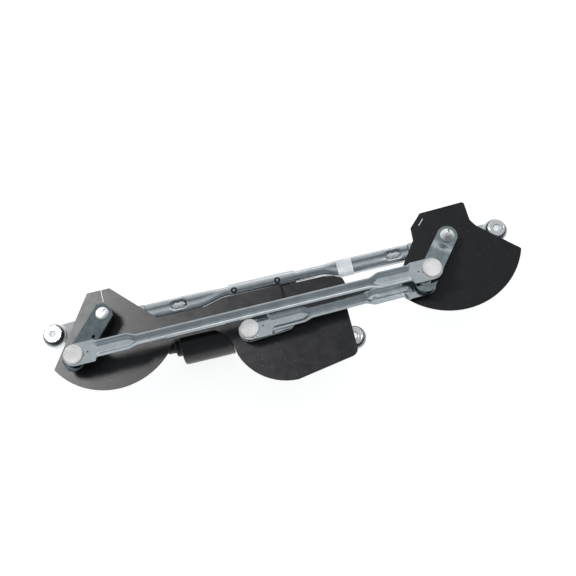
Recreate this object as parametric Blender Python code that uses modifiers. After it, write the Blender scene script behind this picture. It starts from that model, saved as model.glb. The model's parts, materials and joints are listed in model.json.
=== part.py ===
"""Windshield wiper linkage with its gear motor: a tube frame that carries two wiper pivots.

The motor crank drives the right crank through a short rod, and a long rod carries the motion to the left crank.
Sizes are in millimetres and are turned into metres by MM. The working frame has its origin on the left spindle's
axis at the height of the tube's axis, +X along the tube, +Y to the tube's back and +Z to the crank side. An empty,
frame_origin, moves everything so that the origin is at the bottom centre of the object's box.
"""

from math import asin, atan2, cos, degrees, exp, hypot, pi, radians, sin, sqrt

import bmesh
import bpy
from mathutils import Vector

MM = 0.001
GAP = 0.3
CUTTER_TWIST = 0.13

# Frame
SPAN = 500.0
FRAME_SHIFT = (-251.6, 50.3, 75.0)
TUBE_RADIUS = 8.0
TUBE_WALL = 1.5
TUBE_START = 56.0
TUBE_END = 443.5
TUBE_DROP = 1.2
FLAT_CENTRE_DROP = 4.5
FLAT_EXTRA_WIDTH = 4.5
FLAT_LESS_HEIGHT = 1.2
FLAT_GROOVE = 1.3
LEFT_BLEND = (128.0, 176.0)
RIGHT_BLEND = (314.0, 343.0)
POCKET_X = (104.0, 421.0)
POCKET_LENGTH = 24.6
POCKET_WIDTH = 12.3
SLEEVE_X = (179.0, 259.0)
SLEEVE_WALL = 2.0
LABEL_X = (337.5, 359.5)

# Linkage in plan, all radii from each pivot's axis
MOTOR_SHAFT = (247.4, -67.6)
MOTOR_THROW = 50.65
RIGHT_REST = radians(-129.0)
LOWER_BALL_THROW = 79.4
UPPER_BALL_THROW = 61.5
LEFT_REST = radians(-131.0)
LEFT_BALL_THROW = 69.0

# Heights
CRANK_TOP = 30.5
LEFT_PLATE = 3.0
RIGHT_PLATE = 4.0
RIGHT_HEAD_TOP = 22.0
MOTOR_CRANK_BOTTOM = 13.0
MOTOR_CRANK_FLOOR = 16.5
MOTOR_CRANK_RIM = 18.5
SHIELD_BOTTOM = 7.5
SHIELD_THICKNESS = 2.0
BALL_RISE = 8.2
BALL_RADIUS = 6.0
SPINDLE_RADIUS = 6.0
SEAL_HEIGHT = 0.6
BOTTOM = -75.0

# Link rods
ROD_SHEET = 1.5
PLATE_HALF_WIDTH = 15.6
PLATE_BELOW_BALL = 0.8
MID_DROP = 1.5

# Mounting lugs: centre and height of the lug's top face
LUGS = {
    "left": (-79.3, -4.8, -2.0),
    "right": (576.2, 0.0, -2.0),
    "lower": (337.5, -106.1, -8.0),
}
LUG_HEIGHT = 12.0
LUG_RADIUS = 17.0
LUG_BORE = 10.7

# Motor
CAN_AXIS = (-50.0, -45.0)
CAN_RADIUS = 30.0
CAN_X = (92.0, 165.9)
CAN_WALL = 2.0
HOUSING_X = 166.3
HOUSING_TOP = -14.0
HOUSING_FOOT = -72.0
WHEEL_TEETH = 34
WORM_STARTS = 2
WHEEL_TIP = 13.3
WORM_CREST = 4.0


def clear_scene():
    for old in list(bpy.data.objects):
        bpy.data.objects.remove(old)


def collection(name):
    made = bpy.data.collections.new(name)
    bpy.context.scene.collection.children.link(made)
    return made


clear_scene()
PARTS = collection("windshield_wiper_assembly")
CUTTERS = collection("cutters")


def empty(name, place, turn=0.0, parent=None):
    """A parent empty; place is in millimetres in its own parent's frame."""
    made = bpy.data.objects.new(name, None)
    PARTS.objects.link(made)
    made.location = Vector(place) * MM
    made.rotation_euler = (0, 0, turn)
    made.parent = parent
    return made


def finish_material(made, colour, roughness, metallic):
    look = bpy.data.materials.new(made.name + "_look")
    look.use_nodes = True
    shader = look.node_tree.nodes["Principled BSDF"]
    shader.inputs["Base Color"].default_value = (*colour, 1.0)
    shader.inputs["Roughness"].default_value = roughness
    shader.inputs["Metallic"].default_value = metallic
    made.data.materials.append(look)


LOOKS = {
    "zinc": ((0.62, 0.66, 0.69), 0.35, 1.0),
    "steel": ((0.75, 0.75, 0.74), 0.28, 1.0),
    "casting": ((0.72, 0.73, 0.74), 0.45, 1.0),
    "black_plastic": ((0.035, 0.035, 0.038), 0.5, 0.0),
    "shield_plastic": ((0.06, 0.06, 0.065), 0.55, 0.0),
    "white_plastic": ((0.82, 0.82, 0.80), 0.45, 0.0),
    "rubber": ((0.02, 0.02, 0.02), 0.8, 0.0),
    "black_paint": ((0.02, 0.02, 0.022), 0.4, 0.0),
    "bronze": ((0.55, 0.38, 0.2), 0.4, 1.0),
    "copper": ((0.72, 0.38, 0.22), 0.35, 1.0),
    "carbon": ((0.08, 0.08, 0.08), 0.6, 0.0),
    "ferrite": ((0.12, 0.12, 0.13), 0.6, 0.0),
    "paper": ((0.85, 0.86, 0.88), 0.6, 0.0),
}


def part(name, mesh, look, parent, place=(0, 0, 0), turn=(0, 0, 0)):
    """A named piece of the object with its own material."""
    mesh.shade_smooth()
    mesh.set_sharp_from_angle(angle=radians(35))
    made = bpy.data.objects.new(name, mesh)
    PARTS.objects.link(made)
    made.location = Vector(place) * MM
    made.rotation_euler = turn
    made.parent = parent
    finish_material(made, *LOOKS[look])
    return made


def helper(mesh, target, place=(0, 0, 0), turn=(0, 0, 0)):
    """A shape that only cuts or joins another, placed in the frame of target's parent."""
    made = bpy.data.objects.new("helper_" + target.name, mesh)
    CUTTERS.objects.link(made)
    made.location = Vector(place) * MM
    made.rotation_euler = turn
    made.parent = target.parent
    made.hide_render = True
    made.display_type = "WIRE"
    return made


def boolean(target, mesh, operation, place=(0, 0, 0), turn=(0, 0, 0)):
    step = target.modifiers.new(operation.lower(), "BOOLEAN")
    step.operation = operation
    step.solver = "EXACT"
    step.object = helper(mesh, target, place, turn)


def cut(target, mesh, place=(0, 0, 0), turn=(0, 0, 0)):
    boolean(target, mesh, "DIFFERENCE", place, turn)


def join(target, mesh, place=(0, 0, 0), turn=(0, 0, 0)):
    boolean(target, mesh, "UNION", place, turn)


def arc(centre, radius, start, end, steps):
    """Points on an arc, with start and end in degrees."""
    points = []
    for i in range(steps + 1):
        a = radians(start + (end - start) * i / steps)
        points.append((centre[0] + radius * cos(a), centre[1] + radius * sin(a)))
    return points


def circle(centre, radius, steps=24):
    return arc(centre, radius, 0, 360, steps)[:-1]


def polar(centre, radius, angle):
    return (centre[0] + radius * cos(angle), centre[1] + radius * sin(angle))


def rounded(corners, steps=3):
    """An outline through corners (x, y, radius), each turned into an arc that is tangent to both of its sides."""
    points = []
    count = len(corners)
    for i, (x, y, radius) in enumerate(corners):
        here = Vector((x, y))
        before = (Vector(corners[i - 1][:2]) - here).normalized()
        after = (Vector(corners[(i + 1) % count][:2]) - here).normalized()
        if radius <= 0:
            points.append((x, y))
            continue
        half = before.angle(after) / 2
        centre = here + (before + after).normalized() * (radius / sin(half))
        reach = radius * cos(half) / sin(half)
        first = here + before * reach - centre
        last = here + after * reach - centre
        start = atan2(first.y, first.x)
        sweep = (atan2(last.y, last.x) - start + pi) % (2 * pi) - pi
        for k in range(steps + 1):
            points.append(polar(centre, radius, start + sweep * k / steps))
    return points


def slab(outline, bottom, top, holes=()):
    """A flat piece from a closed outline with holes, made as a filled 2D curve and turned into a mesh."""
    data = bpy.data.curves.new("outline", "CURVE")
    data.dimensions = "2D"
    data.fill_mode = "BOTH"
    data.extrude = (top - bottom) / 2 * MM
    for loop in (outline, *holes):
        spline = data.splines.new("POLY")
        spline.points.add(len(loop) - 1)
        spline.use_cyclic_u = True
        for point, (x, y) in zip(spline.points, loop):
            point.co = (x * MM, y * MM, 0, 1)
    curve = bpy.data.objects.new("outline", data)
    CUTTERS.objects.link(curve)
    curve.location = (0, 0, (top + bottom) / 2 * MM)
    bpy.context.view_layer.update()
    seen = curve.evaluated_get(bpy.context.evaluated_depsgraph_get())
    mesh = bpy.data.meshes.new_from_object(seen)
    mesh.transform(curve.matrix_world)
    bpy.data.objects.remove(curve)
    cleaned = bmesh.new()
    cleaned.from_mesh(mesh)
    bmesh.ops.remove_doubles(cleaned, verts=cleaned.verts, dist=1e-7)
    bmesh.ops.recalc_face_normals(cleaned, faces=cleaned.faces)
    cleaned.to_mesh(mesh)
    cleaned.free()
    return mesh


def turned(profile, steps=16, closed=False):
    """A body turned about Z from a profile (radius, height), listed down its outer side; closed joins last to first."""
    mesh = bpy.data.meshes.new("turned")
    count = len(profile)
    edges = [(i, i + 1) for i in range(count - 1)]
    if closed:
        edges.append((count - 1, 0))
    mesh.from_pydata([(r * MM, 0, z * MM) for r, z in profile], edges, [])
    source = bpy.data.objects.new("profile", mesh)
    CUTTERS.objects.link(source)
    screw = source.modifiers.new("turn", "SCREW")
    screw.steps = steps
    screw.render_steps = steps
    screw.use_merge_vertices = True
    screw.merge_threshold = 0.00001
    bpy.context.view_layer.update()
    seen = source.evaluated_get(bpy.context.evaluated_depsgraph_get())
    made = bpy.data.meshes.new_from_object(seen)
    bpy.data.objects.remove(source)
    return made


def ring(inner, outer, bottom, top, steps=16):
    return turned([(outer, top), (outer, bottom), (inner, bottom), (inner, top)], steps, closed=True)


def drum(radius, bottom, top, steps=16):
    """A solid cylinder about Z."""
    return turned([(0, top), (radius, top), (radius, bottom), (0, bottom)], steps)


def block(low, high):
    """A box between two corners, from a unit cube."""
    made = bmesh.new()
    bmesh.ops.create_cube(made, size=1.0)
    size = [(b - a) * MM for a, b in zip(low, high)]
    centre = [(a + b) / 2 * MM for a, b in zip(low, high)]
    bmesh.ops.scale(made, vec=size, verts=made.verts)
    bmesh.ops.translate(made, vec=centre, verts=made.verts)
    mesh = bpy.data.meshes.new("block")
    made.to_mesh(mesh)
    made.free()
    return mesh


def grid(rows, around=False):
    """An open surface through rows of points, each row the same length; around closes every row on itself."""
    across = len(rows[0])
    points = [Vector(p) * MM for row in rows for p in row]
    faces = []
    for i in range(len(rows) - 1):
        for j in range(across if around else across - 1):
            k = (j + 1) % across
            faces.append((i * across + j, i * across + k, (i + 1) * across + k, (i + 1) * across + j))
    mesh = bpy.data.meshes.new("grid")
    mesh.from_pydata(points, [], faces)
    return mesh


def thicken(made, thickness, offset=1.0):
    """Solidify; with offset 1 the sheet grows along its faces' normals, with -1 against them."""
    step = made.modifiers.new("sheet", "SOLIDIFY")
    step.thickness = thickness * MM
    step.offset = offset
    step.use_even_offset = True
    return step


def smooth_step(value, start, end):
    t = min(max((value - start) / (end - start), 0.0), 1.0)
    return t * t * (3 - 2 * t)


# Linkage positions worked out from the driving dimensions
LEFT_PIVOT = (0.0, 0.0)
RIGHT_PIVOT = (SPAN, 0.0)
LOWER_BALL = polar(RIGHT_PIVOT, LOWER_BALL_THROW, RIGHT_REST)
UPPER_BALL = polar(RIGHT_PIVOT, UPPER_BALL_THROW, RIGHT_REST)
LEFT_BALL = polar(LEFT_PIVOT, LEFT_BALL_THROW, LEFT_REST)


def direction(start, end):
    return atan2(end[1] - start[1], end[0] - start[0])


# At rest the motor crank is folded back over the drive rod, so that the shaft lies between its two balls
DRIVE_ANGLE = direction(MOTOR_SHAFT, LOWER_BALL)
MOTOR_BALL = polar(MOTOR_SHAFT, MOTOR_THROW, DRIVE_ANGLE + pi)
DRIVE_LENGTH = hypot(LOWER_BALL[0] - MOTOR_BALL[0], LOWER_BALL[1] - MOTOR_BALL[1])
LONG_ANGLE = direction(LEFT_BALL, UPPER_BALL)
LONG_LENGTH = hypot(UPPER_BALL[0] - LEFT_BALL[0], UPPER_BALL[1] - LEFT_BALL[1])

origin = empty("frame_origin", FRAME_SHIFT)
left_axis = empty("left_spindle_axis", (0, 0, 0), LEFT_REST, origin)
right_axis = empty("right_spindle_axis", (SPAN, 0, 0), RIGHT_REST, origin)
motor_axis = empty("motor_crank_axis", (*MOTOR_SHAFT, 0), DRIVE_ANGLE + pi, origin)
drive_axis = empty("drive_rod_axis", (*MOTOR_BALL, 0), DRIVE_ANGLE, origin)
long_axis = empty("long_rod_axis", (*UPPER_BALL, 0), LONG_ANGLE + pi, origin)
can_axis = empty("armature_axis", (0, *CAN_AXIS), 0.0, origin)
can_axis.rotation_euler = (0, pi / 2, 0)


# ---------------------------------------------------------------- tube frame
def tube_section(x, grow=0.0, count=20):
    """One ring of the frame tube at x: round in the middle, flattened with a lengthwise groove near both ends."""
    flat = 1 - smooth_step(x, *LEFT_BLEND) + smooth_step(x, *RIGHT_BLEND)
    centre = -TUBE_DROP - (FLAT_CENTRE_DROP - TUBE_DROP) * flat
    half_width = TUBE_RADIUS + FLAT_EXTRA_WIDTH * flat + grow
    half_height = TUBE_RADIUS - FLAT_LESS_HEIGHT * flat + grow
    squareness = 2 / (2 + 1.2 * flat)
    points = []
    for k in range(count):
        a = 2 * pi * k / count
        y = half_width * abs(cos(a)) ** squareness * (1 if cos(a) >= 0 else -1)
        z = half_height * abs(sin(a)) ** squareness * (1 if sin(a) >= 0 else -1)
        if z > 0:
            z -= FLAT_GROOVE * flat * exp(-((y / 3.0) ** 2))
        points.append((x, centre + y, z))
    return points


def stadium(centre, length, width, steps=8):
    half = (length - width) / 2
    right = arc((centre[0] + half, centre[1]), width / 2, -90, 90, steps)
    left = arc((centre[0] - half, centre[1]), width / 2, 90, 270, steps)
    return right + left


def make_tube():
    stations = (TUBE_START, 128, 140, 152, 164, 176, 314, 324, 334, 343, TUBE_END)
    made = part("frame_tube", grid([tube_section(x) for x in stations], around=True), "zinc", origin)
    thicken(made, TUBE_WALL, -1.0)
    for x in POCKET_X:
        cut(made, slab(stadium((x, -FLAT_CENTRE_DROP), POCKET_LENGTH, POCKET_WIDTH), 1.7, 10))


def make_label():
    stations = (LABEL_X[0], 343, LABEL_X[1])
    mesh = grid([tube_section(x, 0.35) for x in stations], around=True)
    thicken(part("identification_label", mesh, "paper", origin), 0.25, 1.0)


def make_bracket():
    """Sleeve around the tube with the plate that the gear housing is bolted to."""
    shaft = MOTOR_SHAFT
    outline = rounded(
        [(184, -3, 0), (256, -3, 0), (276, -58, 8), (270, -92, 8), (226, -96, 8), (206, -70, 6)]
    )
    made = part("motor_bracket", slab(outline, -12.5, -9.7, [circle(shaft, 13.5)]), "zinc", origin)
    sleeve = ring(TUBE_RADIUS + GAP, TUBE_RADIUS + GAP + SLEEVE_WALL, *SLEEVE_X, 20)
    join(made, sleeve, (0, -TUBE_DROP, 0), (0, pi / 2, 0))
    web = block((184, -10.4, -10.5), (256, -6.5, -4.5))
    join(made, web)
    cut(made, drum(TUBE_RADIUS + GAP, 170, 270, 20), (0, -TUBE_DROP, 0), (0, pi / 2, 0))
    for x, y in MOTOR_BOLTS:
        cut(made, drum(3.3, -20, 0, 10), (x, y, 0), (0, 0, CUTTER_TWIST))


MOTOR_BOLTS = [polar(MOTOR_SHAFT, 21.0, radians(a)) for a in (75, 195, 300)]


# ---------------------------------------------------------------- pivot housings and mounting lugs
def make_pivot_housing(side, pivot, sign):
    """Die-cast housing: barrel for the spindle, tongue in the tube's end, arm and lug for the body mount."""
    x0 = pivot[0]
    lug_x, lug_y, lug_top = LUGS[side]
    reach = abs(lug_x - x0)
    base = lug_top - LUG_HEIGHT
    arm = [(x0 + sign * 2, 12.5), (x0 - sign * reach, lug_y + 15), (x0 - sign * reach, lug_y - 15)]
    arm.append((x0 + sign * 2, -12.5))
    made = part(side + "_pivot_housing", slab(arm, base + 1.5, lug_top - 2.5), "casting", origin)
    join(made, drum(13.0, -32, 5.5, 20), (x0, 0, 0))
    join(made, drum(LUG_RADIUS, base, lug_top, 24), (lug_x, lug_y, 0))
    inner, shoulder, tip = x0, x0 + sign * (TUBE_START - GAP), x0 + sign * 114
    low, high = sorted((inner, shoulder))
    join(made, block((low, -FLAT_CENTRE_DROP - 12, -6.6), (high, -FLAT_CENTRE_DROP + 12, 6.4)))
    low, high = sorted((x0 + sign * 40, tip))
    join(made, block((low, -FLAT_CENTRE_DROP - 9, -3.2), (high, -FLAT_CENTRE_DROP + 9, 3.0)))
    pocket = POCKET_X[0] if sign > 0 else POCKET_X[1]
    join(made, slab(stadium((pocket, -FLAT_CENTRE_DROP), 18, 7.5), 0, 4.6))
    cut(made, drum(8.3, -40, 12, 16), (x0, 0, 0))
    cut(made, drum(LUG_BORE, base - 5, lug_top + 5), (lug_x, lug_y, 0))


def make_mount(side):
    """Rubber grommet in the lug, and the flanged steel sleeve that the body's bolt goes through."""
    x, y, top = LUGS[side]
    base = top - LUG_HEIGHT
    groove = LUG_BORE - GAP
    profile = [(13.2, top + 6.4), (14.3, top + 5.2), (14.3, top + GAP), (groove, top + GAP), (groove, base - GAP)]
    profile += [(14.3, base - GAP), (14.3, base - 2.6), (13.4, base - 3.6), (6.4, base - 3.6), (6.4, top + 6.4)]
    part("mount_grommet_" + side, turned(profile, 16, closed=True), "rubber", origin, (x, y, 0))
    disc = top + 6.7
    profile = [(12.0, disc + 1.8), (12.6, disc + 1.2), (12.6, disc), (6.1, disc), (6.1, base - 3.6)]
    profile += [(4.5, base - 3.6), (4.5, disc + 1.8)]
    part("mount_sleeve_" + side, turned(profile, 16, closed=True), "zinc", origin, (x, y, 0))


# ---------------------------------------------------------------- spindles and what holds them
def make_spindle(side, axis, head_top, plate, head):
    """Spindle riveted in its crank: head above the plate, shank, circlip groove, knurled cone and threaded tip."""
    under = head_top - plate - GAP
    profile = [(r, head_top + GAP + z) for r, z in head]
    profile += [(5.0, head_top + GAP), (5.0, under), (SPINDLE_RADIUS, under), (SPINDLE_RADIUS, -34.6)]
    profile += [(5.0, -34.6), (5.0, -36.0), (SPINDLE_RADIUS, -36.0), (SPINDLE_RADIUS, -50), (4.9, -60)]
    profile += [(4.0, -60), (4.0, BOTTOM + 0.8), (3.2, BOTTOM), (0, BOTTOM)]
    part(side + "_spindle", turned(profile, 14), "steel", axis)


def make_spindle_fittings(side, pivot, axis):
    bush = ring(SPINDLE_RADIUS + GAP, 8.0, 0, 14)
    for name, z in (("upper", -9.0), ("lower", -30.6)):
        part(side + "_" + name + "_bush", bush.copy(), "bronze", origin, (*pivot, z))
    seal = [(7.9, -14.4), (8.0, -15.2), (7.9, -16.0), (6.6, -16.0), (6.3, -15.2), (6.6, -14.4)]
    part(side + "_shaft_seal", turned(seal, closed=True), "rubber", origin, (*pivot, SEAL_HEIGHT))
    clip = ring(5.3, 8.6, -35.7, -34.9)
    part(side + "_retaining_ring", clip, "steel", axis)


# ---------------------------------------------------------------- cranks
def make_left_crank():
    """Pressed crank with faceted ends and a rim turned down along its edge."""
    outline = [(-15, -6), (-13, 6), (-5, 14.5), (78, 15.5), (86, 11), (91, -1), (85, -13), (80, -15.5), (-8, -15)]
    made = part("left_crank", slab(outline, CRANK_TOP - 9.5, CRANK_TOP), "zinc", left_axis)
    inner = [(-12.4, -5), (-10.6, 5), (-4, 12.2), (77, 13.2), (84, 9.5), (88.2, -1), (83, -11.2), (79, -13.2), (-7, -12.8)]
    cut(made, slab(inner, CRANK_TOP - 15, CRANK_TOP - LEFT_PLATE))
    cut(made, drum(5.3, 10, 40))
    cut(made, drum(4.0, 10, 40), (LEFT_BALL_THROW, 0, 0))
    cut(made, drum(2.0, 10, 40, 12), (34, 6, 0))


def crank_width(u, start, end, radius):
    """Half the width of a stadium-shaped plate at u, with its ends cut a little short of their tips."""
    if u < start:
        return sqrt(max(radius**2 - (u - start) ** 2, 0.0))
    if u > end:
        return sqrt(max(radius**2 - (u - end) ** 2, 0.0))
    return radius


def end_steps(centre, radius, side, steps=8):
    """Places along a round end, closer together towards its tip."""
    return [centre + side * radius * cos(radians(8 + (90 - 8) * i / steps)) for i in range(steps + 1)]


def make_right_crank():
    """Flat crank with a double bend between its spindle end and its two ball ends."""
    radius = 14.6
    low, high = RIGHT_HEAD_TOP - RIGHT_PLATE, CRANK_TOP - RIGHT_PLATE
    places = end_steps(0, radius, -1) + [14.5, 17.5, 27.0, 30.0]
    places += list(reversed(end_steps(LOWER_BALL_THROW, radius, 1)))
    rows = []
    for u in places:
        z = low + (high - low) * smooth_step(u, 14.5, 30.0)
        half = crank_width(u, 0, LOWER_BALL_THROW, radius)
        rows.append([(u, v * half, z) for v in (-1, 0, 1)])
    made = part("right_crank", grid(rows), "zinc", right_axis)
    thicken(made, RIGHT_PLATE, sheet_side(rows))
    cut(made, drum(5.3, 10, 40))
    cut(made, drum(4.0, 10, 40), (UPPER_BALL_THROW, 0, 0))
    cut(made, drum(4.0, 10, 40), (LOWER_BALL_THROW, 0, 0))


def sheet_side(rows):
    """1 where the grid's first face points up, otherwise -1, so that a sheet always grows upwards."""
    a, b, c = Vector(rows[0][0]), Vector(rows[0][1]), Vector(rows[1][1])
    return 1.0 if (b - a).cross(c - b).z > 0 else -1.0


def make_motor_crank():
    """Pressed crank with a rim turned up, on the motor's output shaft."""
    ball, tip = 16.2, 14.2
    lean = degrees(asin((ball - tip) / MOTOR_THROW))
    outline = arc((MOTOR_THROW, 0), ball, -90 - lean, 90 + lean, 16)
    outline += arc((0, 0), tip, 90 + lean, 270 - lean, 14)
    made = part("motor_crank", slab(outline, MOTOR_CRANK_BOTTOM, MOTOR_CRANK_RIM), "zinc", motor_axis)
    inner = arc((MOTOR_THROW, 0), ball - 2, -90 - lean, 90 + lean, 16)
    inner += arc((0, 0), tip - 2, 90 + lean, 270 - lean, 14)
    cut(made, slab(inner, MOTOR_CRANK_FLOOR, 30))
    cut(made, drum(4.3, 0, 40, 18), turn=(0, 0, CUTTER_TWIST))
    cut(made, drum(4.0, 0, 40, 18), (MOTOR_THROW, 0, 0), (0, 0, CUTTER_TWIST))


# ---------------------------------------------------------------- ball joints
def ball_arc(radius, start, end, steps=8):
    """Profile points (radius, height) along a ball, with angles from its top in degrees."""
    turns = [radians(start + (end - start) * i / steps) for i in range(steps + 1)]
    return [(radius * sin(a), radius * cos(a)) for a in turns]


def stud_profile(plate, tail=True):
    """Ball stud with its ball centre at height 0, riveted through a plate that lies BALL_RISE below."""
    seat = -BALL_RISE
    neck = degrees(pi - asin(3.6 / BALL_RADIUS))
    profile = [(0, BALL_RADIUS)] + ball_arc(BALL_RADIUS, 0, neck, 5)[1:]
    profile += [(3.6, seat + 2.0), (7.4, seat + 1.6), (7.4, seat + GAP)]
    if tail:
        profile += [(3.7, seat + GAP), (3.7, seat - plate - GAP), (5.6, seat - plate - GAP)]
        profile += [(5.0, seat - plate - 1.6), (0, seat - plate - 1.6)]
    else:
        profile.append((0, seat + GAP))
    return profile


def make_socket(name, axis, place, cavity, flip=False):
    """Plastic ball socket snapped through the rod's end plate: round cap on one side, skirt with its mouth on the other."""
    neck = cavity + 1.6
    skirt = neck + 1.3
    cap = 13.0
    profile = [(0, 8.0), (11.0, 8.0), (cap, 6.0), (cap, 1.0), (neck, 1.0)]
    profile += [(neck, -PLATE_BELOW_BALL - GAP), (skirt, -PLATE_BELOW_BALL - GAP), (skirt, -5.2)]
    profile += [(cavity, -5.2), (cavity, 3.0), (cavity - 3.0, 6.4), (0, 6.4)]
    made = turned(profile, 20)
    part(name, made, "white_plastic", axis, place, (pi if flip else 0, 0, 0))
    return neck + GAP


def motor_ball_height():
    return MOTOR_CRANK_FLOOR + BALL_RISE


SWING_BALL = CRANK_TOP + BALL_RISE
LOWER_BALL_HEIGHT = CRANK_TOP - RIGHT_PLATE - BALL_RISE
CAVITY = 6.5
LEFT_CAVITY = 8.6


def make_ball_joints():
    part("left_ball_stud", turned(stud_profile(LEFT_PLATE), 12), "steel", left_axis, (LEFT_BALL_THROW, 0, SWING_BALL))
    place = (UPPER_BALL_THROW, 0, SWING_BALL)
    part("right_upper_ball_stud", turned(stud_profile(RIGHT_PLATE), 12), "steel", right_axis, place)
    height = motor_ball_height()
    motor_plate = MOTOR_CRANK_FLOOR - MOTOR_CRANK_BOTTOM
    part("motor_ball_stud", turned(stud_profile(motor_plate), 12), "steel", motor_axis, (MOTOR_THROW, 0, height))
    profile = stud_profile(RIGHT_PLATE, tail=False)
    place = (DRIVE_LENGTH, 0, LOWER_BALL_HEIGHT)
    part("right_lower_ball_stud", turned(profile, 12), "steel", drive_axis, place, (pi, 0, 0))
    top = CRANK_TOP + GAP
    profile = [(0, top + 1.8), (4.6, top + 1.8), (6.4, top + 0.9), (6.4, top), (3.7, top)]
    profile += [(3.7, CRANK_TOP - RIGHT_PLATE + 0.6), (0, CRANK_TOP - RIGHT_PLATE + 0.6)]
    part("right_lower_stud_head", turned(profile), "steel", right_axis, (LOWER_BALL_THROW, 0, 0))
    make_socket("left_ball_socket", long_axis, (LONG_LENGTH, 0, SWING_BALL), LEFT_CAVITY)
    make_socket("right_upper_ball_socket", long_axis, (0, 0, SWING_BALL), CAVITY)
    make_socket("motor_ball_socket", drive_axis, (0, 0, height), CAVITY)
    make_socket("right_lower_ball_socket", drive_axis, (DRIVE_LENGTH, 0, LOWER_BALL_HEIGHT), CAVITY, flip=True)


# ---------------------------------------------------------------- link rods
def rod_row(u, from_end, base, mid):
    """One cross-section of a rod. from_end is the distance to the nearer ball, base and mid the floor's heights."""
    notch = smooth_step(from_end, 26.5, 33.0)
    taper = smooth_step(from_end, 74.0, 90.0)
    round_end = sqrt(max(PLATE_HALF_WIDTH**2 - min(from_end, 0.0) ** 2, 0.0))
    half = round_end + (11.8 - PLATE_HALF_WIDTH) * notch + (7.75 - 11.8) * taper
    floor = min(11.4, half * 0.78) + (8.0 - 11.4) * notch + (3.7 - 8.0) * taper
    rise = 5.2 * notch
    lip = 1.3 * notch
    z = base + (mid - base) * taper
    shoulder = half - lip - 0.01 - 0.12 * (half - floor)
    side = [(half, rise), (shoulder, rise), (floor, 0.0)]
    left = [(-v, z + h) for v, h in side]
    right = [(v, z + h) for v, h in reversed(side)]
    return [(u, v, height) for v, height in left + right]


def rod_surface(length, base_start, base_end, mid):
    """Rows of a rod from the round end at 0 to the round end at length."""
    near = [PLATE_HALF_WIDTH * -cos(radians(10 + 80 * i / 5)) for i in range(6)]
    near += [26.5, 29, 31, 33, 74, 79.5, 84.5, 90]
    rows = [rod_row(d, d, base_start, mid) for d in near]
    rows += [rod_row(length - d, d, base_end, mid) for d in reversed(near)]
    return rows


def make_rod(name, axis, length, base_start, base_end, mid, holes):
    rows = rod_surface(length, base_start, base_end, mid)
    made = part(name, grid(rows), "zinc", axis)
    thicken(made, ROD_SHEET, sheet_side(rows))
    for place, radius in holes:
        cut(made, drum(radius, -20, 60, 20 if radius > 2 else 8), (place, 0, 0))
    return made


def make_rods():
    pilot = 1.0
    inset = 19.0
    base = SWING_BALL - PLATE_BELOW_BALL
    snap, loose = CAVITY + 1.6 + GAP, LEFT_CAVITY + 1.6 + GAP
    holes = [(0, snap), (inset, pilot), (LONG_LENGTH, loose), (LONG_LENGTH - inset, pilot)]
    make_rod("long_link_rod", long_axis, LONG_LENGTH, base, base, base - MID_DROP, holes)
    start = motor_ball_height() - PLATE_BELOW_BALL
    end = LOWER_BALL_HEIGHT + PLATE_BELOW_BALL - ROD_SHEET
    holes = [(0, snap), (inset, pilot), (DRIVE_LENGTH, snap), (DRIVE_LENGTH - inset, pilot)]
    make_rod("drive_link_rod", drive_axis, DRIVE_LENGTH, start, end, start - 3.0, holes)


# ---------------------------------------------------------------- shields
def make_shields():
    top = SHIELD_BOTTOM + SHIELD_THICKNESS
    sector = arc((2, -3), 102, 213, 317, 22)
    arch = [(76, -72, 0), (88, -54, 8), (148, -54, 12), (166, -68, 16), (172, -97, 0)]
    outline = [(-21.8, 42.3), (-82.2, -56)] + sector + rounded(arch, 4)[1:-1]
    outline += arc((248.4, -68.6), 81.6, 201, 269, 12)
    outline += rounded([(248.6, -150.4, 0), (336.8, -134.3, 11), (336.4, -45, 0), (252, -45, 0)], 5)[1:]
    outline += rounded([(252, -10.8, 0), (176, -10.8, 4), (160, -13, 6), (143, -17.3, 4), (71, -17.3, 0), (11.3, 42.5, 0)])
    outline += [(-0.9, 42.4), (0.0, 24), (-1.2, 24), (-1.4, 28.6), (-8.9, 28.7), (-8.9, 29.4), (-1.5, 29.3), (-2.1, 42.4)]
    holes = [circle(LEFT_PIVOT, 7.6, 20), circle(MOTOR_SHAFT, 9.0, 20)]
    part("left_shield", slab(outline, SHIELD_BOTTOM, top, holes), "shield_plastic", origin)

    middle = rounded(
        [(249, -11.4, 0), (316, -11.6, 4), (330, -14.8, 4), (341, -19.8, 6), (346, -38, 6)]
        + [(380, -40, 5), (380, -60, 5), (264, -60, 0), (264, -52, 0), (249, -40, 0)]
    )
    part("middle_shield", slab(middle, 3.0, 5.0), "shield_plastic", origin)

    outline = arc(RIGHT_PIVOT, 107.6, 219, 335.5, 27)
    corners = [(*outline[-1], 0), (600.0, -39.2, 3), (548, 9, 10), (541.5, 20, 6), (540.9, 49.8, 4)]
    corners += [(474, 47.2, 2), (455, 28, 2), (453.5, 9, 6), (430, -24, 4), (416.8, -67.9, 0)]
    outline += rounded(corners)[1:-1]
    slot_start, slot_end = Vector((467.5, 29.0)), Vector((476.3, 38.2))
    slot = narrow_slot(slot_start, slot_end, 0.8)
    part("right_shield", slab(outline, SHIELD_BOTTOM, top, [circle(RIGHT_PIVOT, 7.6, 20), slot]), "shield_plastic", origin)


def narrow_slot(start, end, width):
    along = (end - start).normalized()
    across = Vector((-along.y, along.x)) * width / 2
    return [tuple(p) for p in (start + across, start - across, end - across, end + across)]


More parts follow.
